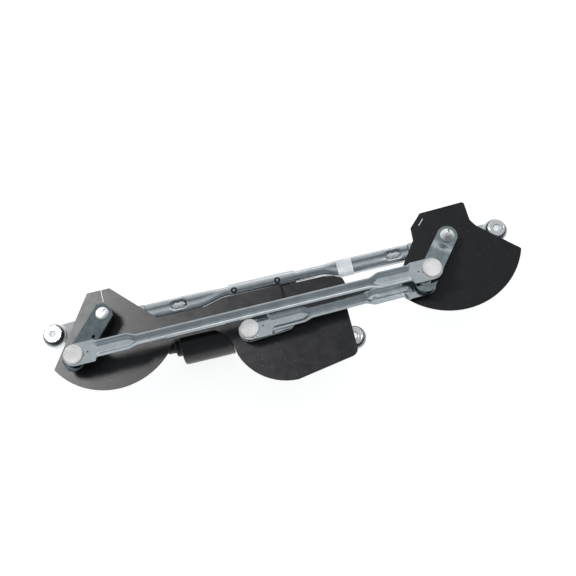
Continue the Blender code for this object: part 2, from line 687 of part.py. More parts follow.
# ---------------------------------------------------------------- motor, turned parts lie along X
def make_motor_shells():
    x0, x1 = CAN_X
    profile = [(7.0, x0), (7.0, x0 + CAN_WALL), (CAN_RADIUS - 4.0, x0 + CAN_WALL), (CAN_RADIUS - CAN_WALL, x0 + 4.5)]
    profile += [(CAN_RADIUS - CAN_WALL, x1), (CAN_RADIUS, x1), (CAN_RADIUS, x0 + 5.0), (CAN_RADIUS - 1.6, x0 + 1.8)]
    profile.append((CAN_RADIUS - 4.8, x0))
    part("motor_can", turned(profile, 28, closed=True), "black_paint", can_axis)
    end = x0 - GAP
    profile = [(0, end - 19.0), (6.3, end - 19.0), (6.3, end), (16.0, end), (16.0, end - 7.5), (14.8, end - 9.0)]
    profile += [(10.0, end - 9.0), (9.6, end - 20.5), (8.6, end - 21.8), (0, end - 21.8)]
    part("motor_end_cap", turned(profile, 20), "black_plastic", can_axis)


def housing_outline(start):
    """Plan outline of the gear housing: worm tunnel along the back, round wheel case in front."""
    x1 = 283
    front = arc(MOTOR_SHAFT, 25.5, 212, 362, 14)
    return [(start, -24), (start, -77), (205, -82)] + front + [(x1, -58), (x1, -37)]


def make_gear_housing():
    y, z = CAN_AXIS
    made = part("gear_housing", slab(housing_outline(HOUSING_X + 1), HOUSING_FOOT, HOUSING_TOP), "casting", origin)
    join(made, drum(CAN_RADIUS - 0.2, HOUSING_X, HOUSING_X + 4, 28), (0, y, z), (0, pi / 2, 0))
    join(made, drum(12.5, -20, 5.5, 20), (*MOTOR_SHAFT, 0))
    lug_x, lug_y, lug_top = LUGS["lower"]
    base = lug_top - LUG_HEIGHT
    arm = [(262, -50), (262, -88), (lug_x - 10, lug_y - 12.5), (lug_x + 6, lug_y + 12)]
    join(made, slab(arm, base + 1, HOUSING_TOP + 0.8))
    join(made, drum(LUG_RADIUS, base, lug_top, 24), (lug_x, lug_y, 0))
    cut(made, drum(LUG_BORE, base - 5, lug_top + 5), (lug_x, lug_y, 0))
    cut(made, drum(17.0, -80, -36, 20), (*MOTOR_SHAFT, 0))
    cut(made, drum(7.0, 160, 276), (0, y, z), (0, pi / 2, 0))
    cut(made, drum(8.3, -60, 12), (*MOTOR_SHAFT, 0))
    for x, bolt_y in MOTOR_BOLTS:
        cut(made, drum(3.2, -24, -5, 10), (x, bolt_y, 0), (0, 0, CUTTER_TWIST))


def make_gear_cover():
    """Plastic cover under the gear housing with the connector's open shroud at its right end."""
    made = part("gear_cover", slab(housing_outline(HOUSING_X + 4.6), BOTTOM, HOUSING_FOOT - GAP), "black_plastic", origin)
    join(made, block((276, -72, BOTTOM), (309, -44, -56)))
    cut(made, block((286, -69.5, BOTTOM + 2.5), (315, -46.5, -58.5)))
    cut(made, block((270, -80, -72.1), (283.4, -30, -50)))


def make_worm():
    """Armature shaft along X with its worm: a two-start thread on the part that drives the wheel."""
    start, end, pitch = 231.0, 264.0, 11.0
    stations = [77.0, 77.6, 120, 160, 200, 229.0, start]
    stations += [start + (end - start) * i / 20 for i in range(1, 20)] + [end, 266.0, 274.4, 275.0]
    rows = []
    for x in stations:
        row = []
        for k in range(10):
            a = 2 * pi * k / 10
            radius = 3.0
            if start < x < end:
                radius = 3.4 + (WORM_CREST - 3.4) * cos(WORM_STARTS * a - 2 * pi * (x - start) / pitch)
            if x in (stations[0], stations[-1]):
                radius = 2.6
            row.append((radius * cos(a), radius * sin(a), x))
        rows.append(row)
    mesh = grid(rows, around=True)
    capped = bmesh.new()
    capped.from_mesh(mesh)
    bmesh.ops.holes_fill(capped, edges=capped.edges)
    bmesh.ops.recalc_face_normals(capped, faces=capped.faces)
    capped.to_mesh(mesh)
    capped.free()
    part("armature_shaft", mesh, "steel", can_axis)


def make_armature():
    make_worm()
    slots = []
    for k in range(12):
        a = 30 * k
        slots += arc((0, 0), 19.0, a + 3, a + 27, 3)
        slots += [polar((0, 0), 14.0, radians(a + 28)), polar((0, 0), 14.0, radians(a + 32))]
    part("armature_core", slab(slots, 103, 146, [circle((0, 0), 3.3, 20)]), "copper", can_axis)
    part("commutator", ring(3.3, 8.0, 149, 159), "copper", can_axis)
    for name, low, high in (("rear", 78.5, 84.5), ("front", 170.0, 178.0)):
        part("armature_bearing_" + name, ring(3.3, 5.9, low, high), "bronze", can_axis)


def make_motor_inside():
    for name, middle in (("upper", 180), ("lower", 0)):
        outline = arc((0, 0), 27.4, middle - 58, middle + 58, 12) + arc((0, 0), 20.6, middle + 58, middle - 58, 12)
        part("field_magnet_" + name, slab(outline, 101, 148), "ferrite", can_axis)
    holder = part("brush_holder", ring(10.0, 27.4, 160.0, 162.5, 24), "black_plastic", can_axis)
    for name, sign in (("back", 1), ("front", -1)):
        low, high = sorted((sign * 11.2, sign * 21.0))
        join(holder, block((-4.2, low, 151.0), (4.2, high, 161.0)))
        low, high = sorted((sign * 8.0, sign * 24.0))
        cut(holder, block((-2.6, low, 151.8), (2.6, high, 158.8)))
        low, high = sorted((sign * 8.4, sign * 19.5))
        part("brush_" + name, block((-2.3, low, 152.1), (2.3, high, 158.5)), "carbon", can_axis)


def make_output():
    """Worm wheel and output shaft, with the bush and the nut that holds the motor crank."""
    teeth = []
    for k in range(2 * WHEEL_TEETH):
        radius = WHEEL_TIP if k % 2 else WHEEL_TIP - 1.1
        teeth.append(polar((0, 0), radius, pi * k / WHEEL_TEETH))
    z = CAN_AXIS[1]
    part("worm_wheel", slab(teeth, z - 4.5, z + 4.5, [circle((0, 0), 5.3, 20)]), "white_plastic", motor_axis)
    profile = [(0, 23.2), (3.4, 23.2), (4.0, 22.6), (4.0, MOTOR_CRANK_BOTTOM - GAP), (5.0, MOTOR_CRANK_BOTTOM - GAP)]
    profile += [(5.0, -52.0), (4.4, -52.8), (0, -52.8)]
    part("output_shaft", turned(profile), "steel", motor_axis)
    bush = ring(5.3, 8.0, -33, 4.5)
    part("output_bush", bush, "bronze", origin, (*MOTOR_SHAFT, 0))
    hexagon = [polar((0, 0), 7.5, radians(60 * k)) for k in range(6)]
    low = MOTOR_CRANK_FLOOR + GAP
    nut = part("crank_nut", slab(hexagon, low, low + 5.4, [circle((0, 0), 4.3, 16)]), "steel", motor_axis)
    join(nut, ring(4.25, 9.2, low - 0.05, low + 1.1, 16))


def make_bolts():
    for i, (x, y) in enumerate(MOTOR_BOLTS):
        hexagon = [polar((0, 0), 5.4, radians(60 * k + 12 * i)) for k in range(6)]
        bolt = part(f"motor_bolt_{i + 1}", slab(hexagon, -9.4, -5.4), "steel", origin, (x, y, 0))
        join(bolt, drum(2.8, -21.5, -7.0, 10), (x, y, 0))


make_tube()
make_label()
make_bracket()
make_pivot_housing("left", LEFT_PIVOT, 1)
make_pivot_housing("right", RIGHT_PIVOT, -1)
for lug in LUGS:
    make_mount(lug)
make_spindle("left", left_axis, CRANK_TOP, LEFT_PLATE, [(0, 3.6), (4.0, 3.4), (8.2, 2.2), (9.4, 1.2), (9.4, 0)])
make_spindle("right", right_axis, RIGHT_HEAD_TOP, RIGHT_PLATE, [(0, 6.4), (3.4, 6.2), (4.6, 5.2), (10.2, 1.0), (10.2, 0)])
make_spindle_fittings("left", LEFT_PIVOT, left_axis)
make_spindle_fittings("right", RIGHT_PIVOT, right_axis)
make_left_crank()
make_right_crank()
make_motor_crank()
make_ball_joints()
make_rods()
make_shields()
make_motor_shells()
make_gear_housing()
make_gear_cover()
make_armature()
make_motor_inside()
make_output()
make_bolts()
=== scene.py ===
"""Looks of a windshield wiper linkage with its gear motor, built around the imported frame.

Lengths are millimetres in the working frame of the design. Its origin lies on the left spindle's axis, at
half the height of the tube's box. +X runs along the tube, +Y to the tube's back and +Z to the crank side.
piece() turns a mesh into metres and puts it in the row frame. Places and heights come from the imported
nodes and joints.
"""

import json
from math import atan2, asin, cos, degrees, exp, hypot, pi, radians, sin, sqrt

import bmesh
import bpy
from mathutils import Matrix, Vector

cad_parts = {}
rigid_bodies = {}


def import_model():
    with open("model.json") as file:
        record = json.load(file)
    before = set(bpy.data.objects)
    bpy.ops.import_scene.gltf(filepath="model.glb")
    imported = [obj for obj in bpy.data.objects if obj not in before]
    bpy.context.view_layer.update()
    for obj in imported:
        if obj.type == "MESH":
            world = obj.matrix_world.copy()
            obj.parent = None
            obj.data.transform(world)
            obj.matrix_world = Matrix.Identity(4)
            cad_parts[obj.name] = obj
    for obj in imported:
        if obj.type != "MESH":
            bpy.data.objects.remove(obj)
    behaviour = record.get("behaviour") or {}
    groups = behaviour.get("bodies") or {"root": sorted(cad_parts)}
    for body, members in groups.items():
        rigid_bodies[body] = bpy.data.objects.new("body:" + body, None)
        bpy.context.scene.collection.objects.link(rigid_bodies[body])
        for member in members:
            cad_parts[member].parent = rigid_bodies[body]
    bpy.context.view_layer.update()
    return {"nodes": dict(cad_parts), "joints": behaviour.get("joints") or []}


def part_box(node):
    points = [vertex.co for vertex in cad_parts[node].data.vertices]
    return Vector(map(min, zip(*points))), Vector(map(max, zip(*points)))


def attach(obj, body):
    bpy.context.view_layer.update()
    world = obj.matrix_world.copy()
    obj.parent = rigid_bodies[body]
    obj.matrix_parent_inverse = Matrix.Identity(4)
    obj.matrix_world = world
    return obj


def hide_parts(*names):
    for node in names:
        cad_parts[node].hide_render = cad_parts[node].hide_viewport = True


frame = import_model()

MM = 0.001
JOINT_PLACE = {joint["name"]: Vector(joint["pos_m"]) / MM for joint in frame["joints"]}
TUBE_LOW, TUBE_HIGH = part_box("frame_tube")
ORIGIN = JOINT_PLACE["left_spindle_turn"].copy()
ORIGIN.z = (TUBE_LOW.z + TUBE_HIGH.z) / 2 / MM


def low(node):
    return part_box(node)[0] / MM - ORIGIN


def high(node):
    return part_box(node)[1] / MM - ORIGIN


def span(node, axis):
    """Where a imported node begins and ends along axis 0, 1 or 2."""
    return low(node)[axis], high(node)[axis]


def centre(node):
    """Plan centre (x, y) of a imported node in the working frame."""
    return tuple(((low(node) + high(node)) / 2)[:2])


def plan(joint):
    return tuple((JOINT_PLACE[joint] - ORIGIN)[:2])


def direction(start, end):
    return atan2(end[1] - start[1], end[0] - start[0])


def distance(start, end):
    return hypot(end[0] - start[0], end[1] - start[1])


# Places of the linkage
LEFT_PIVOT = (0.0, 0.0)
RIGHT_PIVOT = plan("right_spindle_turn")
MOTOR_SHAFT = plan("motor_crank_turn")
LEFT_BALL = centre("left_ball_stud")
UPPER_BALL = plan("long_rod_pivot")
LOWER_BALL = centre("right_lower_ball_stud")
MOTOR_BALL = plan("drive_rod_pivot")
LEFT_THROW = distance(LEFT_PIVOT, LEFT_BALL)
UPPER_THROW = distance(RIGHT_PIVOT, UPPER_BALL)
LOWER_THROW = distance(RIGHT_PIVOT, LOWER_BALL)
MOTOR_THROW = distance(MOTOR_SHAFT, MOTOR_BALL)
LONG_LENGTH = distance(UPPER_BALL, LEFT_BALL)
DRIVE_LENGTH = distance(MOTOR_BALL, LOWER_BALL)

# Heights and sheet thicknesses; GAP lies between neighbouring pieces
BALL_RADIUS = 6.0
BALL_RISE = 8.2
GAP = 0.3
LEFT_PLATE = 3.0
RIGHT_PLATE = 4.0
ROD_SHEET = 1.5
CRANK_TOP = high("left_crank").z
RIGHT_LOW = low("right_crank").z
MOTOR_CRANK_BOTTOM = low("motor_crank").z
MOTOR_CRANK_RIM = high("motor_crank").z
MOTOR_CRANK_FLOOR = MOTOR_CRANK_RIM - 2.0
SWING_BALL = high("left_ball_stud").z - BALL_RADIUS
MOTOR_BALL_HEIGHT = high("motor_ball_stud").z - BALL_RADIUS
LOWER_BALL_HEIGHT = low("right_lower_ball_stud").z + BALL_RADIUS
BOTTOM = low("left_spindle").z


def frame_at(place, angle=0.0, height=0.0):
    return Matrix.Translation((*place, height)) @ Matrix.Rotation(angle, 4, "Z")


def lying(y=0.0, z=0.0):
    """The frame of a body that lies along X instead of Z."""
    return Matrix.Translation((0, y, z)) @ Matrix.Rotation(pi / 2, 4, "Y")


LEFT_AXIS = frame_at(LEFT_PIVOT, direction(LEFT_PIVOT, LEFT_BALL))
RIGHT_AXIS = frame_at(RIGHT_PIVOT, direction(RIGHT_PIVOT, UPPER_BALL))
MOTOR_AXIS = frame_at(MOTOR_SHAFT, direction(MOTOR_SHAFT, MOTOR_BALL))
DRIVE_AXIS = frame_at(MOTOR_BALL, direction(MOTOR_BALL, LOWER_BALL))
LONG_AXIS = frame_at(UPPER_BALL, direction(UPPER_BALL, LEFT_BALL))
ARMATURE = JOINT_PLACE["armature_turn"] - ORIGIN
CAN_AXIS = lying(*ARMATURE.yz)


# Outlines
def polar(middle, radius, angle):
    return (middle[0] + radius * cos(angle), middle[1] + radius * sin(angle))


def arc(middle, radius, start, end, steps):
    return [polar(middle, radius, radians(start + (end - start) * i / steps)) for i in range(steps + 1)]


def circle(middle, radius, steps=64):
    return arc(middle, radius, 0, 360, steps)[:-1]


def smooth_step(value, start, end):
    t = min(max((value - start) / (end - start), 0.0), 1.0)
    return t * t * (3 - 2 * t)


def soften(points, radius, closed=False, steps=4):
    """Rounds every corner of a path; each takes the same number of points, so that sections can be lofted."""
    result = []
    count = len(points)
    for i, point in enumerate(points):
        if not closed and i in (0, count - 1):
            result.append(tuple(point))
            continue
        here = Vector(point)
        before = Vector(points[i - 1]) - here
        after = Vector(points[(i + 1) % count]) - here
        first = here + before.normalized() * min(radius, 0.45 * before.length)
        last = here + after.normalized() * min(radius, 0.45 * after.length)
        for k in range(steps + 1):
            t = k / steps
            result.append(tuple(first * (1 - t) ** 2 + here * 2 * t * (1 - t) + last * t * t))
    return result


def stadium(middle, length, width):
    half = (length - width) / 2
    right = arc((middle[0] + half, middle[1]), width / 2, -90, 90, 16)
    return right + arc((middle[0] - half, middle[1]), width / 2, 90, 270, 16)


def hexagon(radius, turn=0.0):
    return [polar((0.0, 0.0), radius, turn + 2 * pi * k / 6) for k in range(6)]


# Meshes
WELD_DISTANCE = 0.0005
SHORTEST_EDGE = 0.0002
SHARP_ANGLE = radians(38)
BEVEL_ANGLE = radians(50)


def cleaned(mesh):
    work = bmesh.new()
    work.from_mesh(mesh)
    bmesh.ops.remove_doubles(work, verts=work.verts, dist=WELD_DISTANCE)
    bmesh.ops.dissolve_degenerate(work, edges=work.edges, dist=SHORTEST_EDGE)
    bmesh.ops.recalc_face_normals(work, faces=work.faces)
    work.to_mesh(mesh)
    work.free()
    return mesh


def evaluated(source):
    """The mesh that an object's modifiers make; the object is removed."""
    bpy.context.view_layer.update()
    mesh = bpy.data.meshes.new_from_object(source.evaluated_get(bpy.context.evaluated_depsgraph_get()))
    bpy.data.objects.remove(source)
    return mesh


def carrier(data, name="work"):
    made = bpy.data.objects.new(name, data)
    bpy.context.scene.collection.objects.link(made)
    return made


def modified(mesh, kind, **settings):
    """The mesh after one modifier with these settings."""
    base = carrier(mesh)
    step = base.modifiers.new(kind.lower(), kind)
    for setting, value in settings.items():
        setattr(step, setting, value)
    return evaluated(base)


def slab(outline, bottom, top, holes=(), edge=0.3, edge_steps=2):
    """A flat piece with rounded edges, from a filled 2D curve."""
    data = bpy.data.curves.new("outline", "CURVE")
    data.dimensions = "2D"
    data.fill_mode = "BOTH"
    data.extrude = (top - bottom) / 2 - edge
    data.bevel_depth = edge
    data.bevel_resolution = edge_steps
    data.offset = -edge
    for loop in (outline, *holes):
        spline = data.splines.new("POLY")
        spline.points.add(len(loop) - 1)
        spline.use_cyclic_u = True
        for point, (x, y) in zip(spline.points, loop):
            point.co = (x, y, 0, 1)
    mesh = evaluated(carrier(data))
    mesh.transform(Matrix.Translation((0, 0, (top + bottom) / 2)))
    return cleaned(mesh)


def turned(profile, soft=0.3, steps=72, closed=False, relief=None):
    """A body turned about Z from a profile (radius, height); relief(angle, height) changes the radius."""
    path = soften(profile, soft, closed) if soft else profile
    rows = []
    for radius, height in path:
        row = []
        for k in range(steps):
            a = 2 * pi * k / steps
            r = radius + (relief(a, height) if relief and radius > 0 else 0.0)
            row.append((r * cos(a), r * sin(a), height))
        rows.append(row)
    return grid(rows, around=True, joined=closed)


def grid(rows, around=False, joined=False):
    """A surface through rows of points.

    around closes every row on itself; joined joins the last row to the first.
    """
    across = len(rows[0])
    faces = []
    for i in range(len(rows) if joined else len(rows) - 1):
        n = (i + 1) % len(rows)
        for j in range(across if around else across - 1):
            k = (j + 1) % across
            faces.append((i * across + j, i * across + k, n * across + k, n * across + j))
    mesh = bpy.data.meshes.new("grid")
    mesh.from_pydata([p for row in rows for p in row], [], faces)
    return cleaned(mesh)


def block(low_corner, high_corner, edge=0.0):
    work = bmesh.new()
    bmesh.ops.create_cube(work, size=1.0)
    size = [b - a for a, b in zip(low_corner, high_corner)]
    middle = [(a + b) / 2 for a, b in zip(low_corner, high_corner)]
    bmesh.ops.scale(work, vec=size, verts=work.verts)
    bmesh.ops.translate(work, vec=middle, verts=work.verts)
    if edge:
        bmesh.ops.bevel(work, geom=work.edges[:], offset=edge, segments=3, affect="EDGES", profile=0.5)
    mesh = bpy.data.meshes.new("block")
    work.to_mesh(mesh)
    work.free()
    return mesh


def drum(radius, bottom, top, steps=48, soft=0.0):
    return turned([(0, top), (radius, top), (radius, bottom), (0, bottom)], soft, steps)


def ring(inner, outer, bottom, top, soft=0.3):
    return turned([(outer, top), (outer, bottom), (inner, bottom), (inner, top)], soft, closed=True)


def moved(mesh, matrix):
    mesh.transform(matrix)
    return mesh


def post(place, radius, bottom, top, steps=48):
    """A drum that stands on this place of the plan."""
    return moved(drum(radius, bottom, top, steps), frame_at(place))


def combined(mesh, tool, operation):
    other = carrier(tool, "tool")
    result = modified(mesh, "BOOLEAN", operation=operation, solver="EXACT", object=other)
    bpy.data.objects.remove(other)
    return cleaned(result)


def cut(mesh, *tools):
    for tool in tools:
        mesh = combined(mesh, tool, "DIFFERENCE")
    return mesh


def join(mesh, *tools):
    for tool in tools:
        mesh = combined(mesh, tool, "UNION")
    return mesh


def thick(mesh, thickness, offset=1.0):
    """A sheet given its thickness: out of its faces with offset 1, into them with offset -1."""
    return cleaned(modified(mesh, "SOLIDIFY", thickness=thickness, offset=offset))


def raised(path, thickness):
    """The other side of a bent sheet: an open path moved to its left, with mitred corners."""
    points = [Vector(p) for p in path]
    normals = []
    for a, b in zip(points, points[1:]):
        along = (b - a).normalized()
        normals.append(Vector((-along.y, along.x)))
    normals = [normals[0], *normals, normals[-1]]
    result = []
    for point, before, after in zip(points, normals, normals[1:]):
        middle = (before + after).normalized()
        result.append(tuple(point + middle * (thickness / middle.dot(before))))
    return result


def lofted(rings):
    """A closed body through rings of points, with a cap on each end."""
    mesh = grid(rings, around=True)
    work = bmesh.new()
    work.from_mesh(mesh)
    bmesh.ops.holes_fill(work, edges=[edge for edge in work.edges if edge.is_boundary])
    bmesh.ops.recalc_face_normals(work, faces=work.faces)
    work.to_mesh(mesh)
    work.free()
    return mesh


def bevelled(mesh, width, segments=2):
    return modified(mesh, "BEVEL", width=width, segments=segments, angle_limit=BEVEL_ANGLE,
                    use_clamp_overlap=True)


def cast(solids, voxel=0.8):
    """Solids melted into one body with the soft fillets of a die casting."""
    work = bmesh.new()
    for solid in solids:
        work.from_mesh(solid)
    mesh = bpy.data.meshes.new("cast")
    work.to_mesh(mesh)
    work.free()
    melted = modified(mesh, "REMESH", mode="VOXEL", voxel_size=voxel)
    return modified(melted, "SMOOTH", factor=0.5, iterations=5)


def piece(name, mesh, body, look, slot, *nodes, place=Matrix.Identity(4)):
    """A finished piece: in metres in the row frame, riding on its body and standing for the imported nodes."""
    mesh.transform(Matrix.Scale(MM, 4) @ Matrix.Translation(ORIGIN) @ place)
    mesh.shade_smooth()
    mesh.set_sharp_from_angle(angle=SHARP_ANGLE)
    mesh.materials.clear()
    mesh.materials.append(look.material)
    made = carrier(mesh, name)
    normals = made.modifiers.new("normals", "WEIGHTED_NORMAL")
    normals.keep_sharp = True
    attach(made, body)
    if nodes:
        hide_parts(*nodes)
    return made


# Materials
def set_stops(node, stops):
    """Gives a colour ramp node its stops, (position, colour) each; it starts with two of its own."""
    elements = node.color_ramp.elements
    for index, (position, colour) in enumerate(stops):
        element = elements[index] if index < 2 else elements.new(position)
        element.position = position
        element.color = (*colour, 1.0)


class Look:
    """A Principled material whose patterns are read from object coordinates, in metres."""

    def __init__(self, name, colour, roughness, metallic=0.0, settings=None):
        self.material = bpy.data.materials.new(name)
        self.material.use_nodes = True
        self.nodes = self.material.node_tree.nodes
        self.shader = self.nodes["Principled BSDF"]
        basis = {"Base Color": (*colour, 1.0), "Roughness": roughness, "Metallic": metallic}
        for socket, value in (basis | (settings or {})).items():
            self.shader.inputs[socket].default_value = value
        self.place = self.nodes.new("ShaderNodeTexCoord").outputs["Object"]
        self.relief = None

    def link(self, source, target):
        self.material.node_tree.links.new(source, target)

    def add(self, kind, output, settings=None, **inputs):
        """Adds a shader node and gives one of its outputs; each input is a value or another node's output."""
        node = self.nodes.new("ShaderNode" + kind)
        for setting, value in (settings or {}).items():
            setattr(node, setting, value)
        for name, value in inputs.items():
            self.feed(node.inputs[name.replace("_", " ")], value)
        return node.outputs[output]

    def feed(self, socket, value):
        if isinstance(value, bpy.types.NodeSocket):
            self.link(value, socket)
        else:
            socket.default_value = value

    def noise(self, scale, detail=4.0, roughness=0.55, stretch=None):
        place = self.add("Mapping", "Vector", Vector=self.place, Scale=stretch) if stretch else self.place
        return self.add("TexNoise", "Fac", Vector=place, Scale=scale, Detail=detail, Roughness=roughness)

    def cells(self, scale):
        return self.add("TexVoronoi", "Distance", Vector=self.place, Scale=scale)

    def ramp(self, value, *stops):
        """A colour or grey ramp; each stop is (position, colour)."""
        source = self.add("ValToRGB", "Color", Fac=value)
        set_stops(source.node, stops)
        return source

    def spread(self, value, start, end):
        """Stretches the middle of a noise pattern to run from start to end."""
        limits = {"From_Min": 0.3, "From_Max": 0.7, "To_Min": start, "To_Max": end}
        return self.add("MapRange", "Result", Value=value, **limits)

    def math(self, operation, *values):
        source = self.add("Math", "Value", {"operation": operation})
        for socket, value in zip(source.node.inputs, values):
            self.feed(socket, value)
        return source

    def mix(self, factor, first, second):
        """A blend of two colours: sockets 6 and 7 of the node take them, and output 2 gives the blend."""
        source = self.add("Mix", 2, {"data_type": "RGBA"})
        for index, value in ((0, factor), (6, first), (7, second)):
            self.feed(source.node.inputs[index], (*value, 1.0) if isinstance(value, tuple) else value)
        return source

    def inside(self, middle, half_size, turn=0.0):
        """Place in a box of the plan, as X and Y that reach from -1 to 1 in it; lengths in millimetres."""
        shift = self.add("Mapping", "Vector", {"vector_type": "TEXTURE"}, Vector=self.place,
                         Location=[(m + o) * MM for m, o in zip((*middle, 0), ORIGIN)],
                         Rotation=(0, 0, turn), Scale=(half_size[0] * MM, half_size[1] * MM, 1.0))
        parts = self.add("SeparateXYZ", "X", Vector=shift)
        return parts, parts.node.outputs["Y"]

    def colour(self, source):
        self.link(source, self.shader.inputs["Base Color"])

    def rough(self, source):
        self.link(source, self.shader.inputs["Roughness"])

    def bump(self, height, depth, strength=0.6):
        """Adds relief of this depth in millimetres on top of the relief so far."""
        below = {"Normal": self.relief} if self.relief else {}
        self.relief = self.add("Bump", "Normal", Strength=strength, Distance=depth * MM, Height=height,
                               **below)
        self.link(self.relief, self.shader.inputs["Normal"])


def scaled(colour, factor):
    return tuple(factor * c for c in colour)


def plated(name, dark, light, roughness, grain_depth=0.0008):
    """Zinc plated steel: cloudy plating with crystal grain, faint drawing lines and small dull spots."""
    look = Look(name, light, roughness, 1.0)
    clouds = look.noise(75, 7, 0.65)
    crystals = look.cells(900)
    tone = look.ramp(clouds, (0.32, dark), (0.68, light))
    tone = look.mix(look.spread(crystals, 0.0, 0.05), tone, scaled(dark, 0.6))
    stains = look.ramp(look.noise(240, 3, 0.5), (0.64, (0, 0, 0)), (0.78, (1, 1, 1)))
    tone = look.mix(look.math("MULTIPLY", stains, 0.10), tone, scaled(dark, 0.5))
    look.tone = tone
    look.colour(tone)
    lines = look.noise(60, 5, 0.7, (3.0, 60.0, 60.0))
    wear = look.spread(look.noise(320, 4), roughness - 0.03, roughness + 0.03)
    look.rough(look.math("MULTIPLY_ADD", lines, 0.06, look.math("SUBTRACT", wear, 0.03)))
    look.bump(look.noise(1500, 3), grain_depth)
    look.bump(lines, grain_depth * 0.7)
    return look


def painted_stroke(look, start, end, width):
    """A quick brush stroke of blue inspection paint between two places of the plan."""
    middle = [(a + b) / 2 for a, b in zip(start, end)]
    x, y = look.inside(middle, (distance(start, end) / 2, width / 2), direction(start, end))
    across = look.math("POWER", look.math("ABSOLUTE", y), 2.0)
    along = look.math("POWER", look.math("ABSOLUTE", x), 4.0)
    reach = look.math("MULTIPLY_ADD", look.noise(700, 3), 1.4, look.math("ADD", across, along))
    mask = look.ramp(reach, (0.98, (1, 1, 1)), (1.0, (0, 0, 0)))
    look.colour(look.mix(mask, look.tone, BLUE_PAINT))
    look.link(look.math("SUBTRACT", 1.0, mask), look.shader.inputs["Metallic"])


def stake_shade(look, places, radius, tone):
    """Paints shade: darkens a ring round each staking punch mark, standing in for the shade in the groove
    round the punched dent.
    """
    for place in places:
        x, y = look.inside(place, (radius, radius))
        reach = look.math("MULTIPLY_ADD", y, y, look.math("MULTIPLY", x, x))
        mask = look.ramp(reach, (0.20, (0, 0, 0)), (0.32, (1, 1, 1)), (0.80, (1, 1, 1)), (1.0, (0, 0, 0)))
        look.tone = look.mix(mask, look.tone, tone)
    look.colour(look.tone)


def steel(name, light=(0.80, 0.80, 0.79), roughness=0.27):
    """Bright turned or rolled steel with fine machining marks."""
    look = Look(name, light, roughness, 1.0)
    look.tone = look.ramp(look.noise(160, 5), (0.3, scaled(light, 0.72)), (0.7, light))
    look.colour(look.tone)
    look.rough(look.spread(look.noise(500, 3), roughness - 0.06, roughness + 0.12))
    look.bump(look.noise(900, 3, 0.6, (1, 1, 12)), 0.003)
    return look


def casting():
    """Die-cast aluminium: light grey skin with flow marks and a fine sandy grain."""
    look = Look("cast_aluminium", (0.7, 0.71, 0.72), 0.45, 1.0)
    flow = look.noise(45, 6, 0.6, (1, 1.8, 1))
    tone = look.ramp(flow, (0.3, (0.66, 0.67, 0.68)), (0.7, (0.84, 0.85, 0.86)))
    pits = look.ramp(look.cells(800), (0.05, (1, 1, 1)), (0.16, (0, 0, 0)))
    look.colour(look.mix(look.math("MULTIPLY", pits, 0.35), tone, (0.30, 0.30, 0.31)))
    look.rough(look.spread(look.noise(350, 4), 0.36, 0.56))
    look.bump(look.noise(1300, 4, 0.7), 0.03)
    look.bump(flow, 0.15, 0.3)
    return look


def plastic(name, colour, roughness, grain=0.05, grain_scale=1600, dust=0.0, settings=None):
    """Moulded plastic with a grained skin; dust adds small pale specks."""
    look = Look(name, colour, roughness, 0.0, settings)
    glow = tuple(min(1.0, c) for c in scaled(colour, 1.22))
    tone = look.ramp(look.noise(28, 5, 0.6), (0.3, scaled(colour, 0.72)), (0.7, glow))
    if dust:
        specks = look.ramp(look.noise(620, 2, 0.4), (0.735, (0, 0, 0)), (0.78, (1, 1, 1)))
        tone = look.mix(look.math("MULTIPLY", specks, dust), tone, (0.30, 0.30, 0.31))
        rubs = look.ramp(look.noise(60, 6, 0.75, (1, 7, 1)), (0.60, (0, 0, 0)), (0.80, (1, 1, 1)))
        tone = look.mix(look.math("MULTIPLY", rubs, dust * 0.25), tone, (0.22, 0.22, 0.23))
    look.colour(tone)
    look.rough(look.spread(look.noise(90, 5), roughness - 0.07, roughness + 0.08))
    look.bump(look.noise(grain_scale, 3, 0.6), grain)
    return look


def metal_powder(name, dark, light, roughness, grain=0.06):
    """Sintered bronze, copper or ferrite, with an open grain."""
    look = Look(name, light, roughness, 1.0)
    look.colour(look.ramp(look.noise(700, 5, 0.7), (0.35, dark), (0.65, light)))
    look.rough(look.spread(look.noise(400, 3), roughness - 0.08, roughness + 0.1))
    look.bump(look.cells(1700), grain)
    return look


BLUE_PAINT = (0.012, 0.014, 0.11)
ZINC = plated("zinc_plating", (0.58, 0.62, 0.64), (0.72, 0.76, 0.78), 0.15)
TUBE_ZINC = plated("tube_zinc_plating", (0.43, 0.46, 0.48), (0.56, 0.59, 0.61), 0.15)
BRACKET_ZINC = plated("bracket_zinc_plating", (0.47, 0.49, 0.51), (0.60, 0.62, 0.64), 0.22)
# Painted shade: the left crank's zinc is darkened to stand in for the dark surroundings that it mirrors.
CRANK_PLATING_PAINTED_SHADE = plated("crank_plating_painted_shade", (0.14, 0.175, 0.19), (0.25, 0.295, 0.31), 0.14, 0.001)
# Painted shade: the right crank's zinc is darkened as well, less than the left crank's.
RIGHT_CRANK_PLATING_PAINTED_SHADE = plated("right_crank_plating_painted_shade", (0.24, 0.29, 0.305), (0.42, 0.47, 0.49), 0.14, 0.001)
DISC_ZINC = plated("mount_zinc_plating", (0.74, 0.76, 0.78), (0.92, 0.93, 0.94), 0.24)
STEEL = steel("bright_steel")
LEFT_RIVET = steel("left_rivet_steel", (0.86, 0.86, 0.85), 0.34)
painted_stroke(LEFT_RIVET, (-1.5, -1.5), (6.5, 6.5), 3.4)
RIGHT_RIVET = steel("right_rivet_steel", (0.84, 0.84, 0.83), 0.30)
painted_stroke(RIGHT_RIVET, (501.5, 1.5), (505.5, 10.5), 3.6)
CASTING = casting()
SHIELD = plastic("shield_plastic", (0.0080, 0.0078, 0.0090), 0.38, 0.006, 1900, 0.6,
                 {"Specular IOR Level": 0.38})
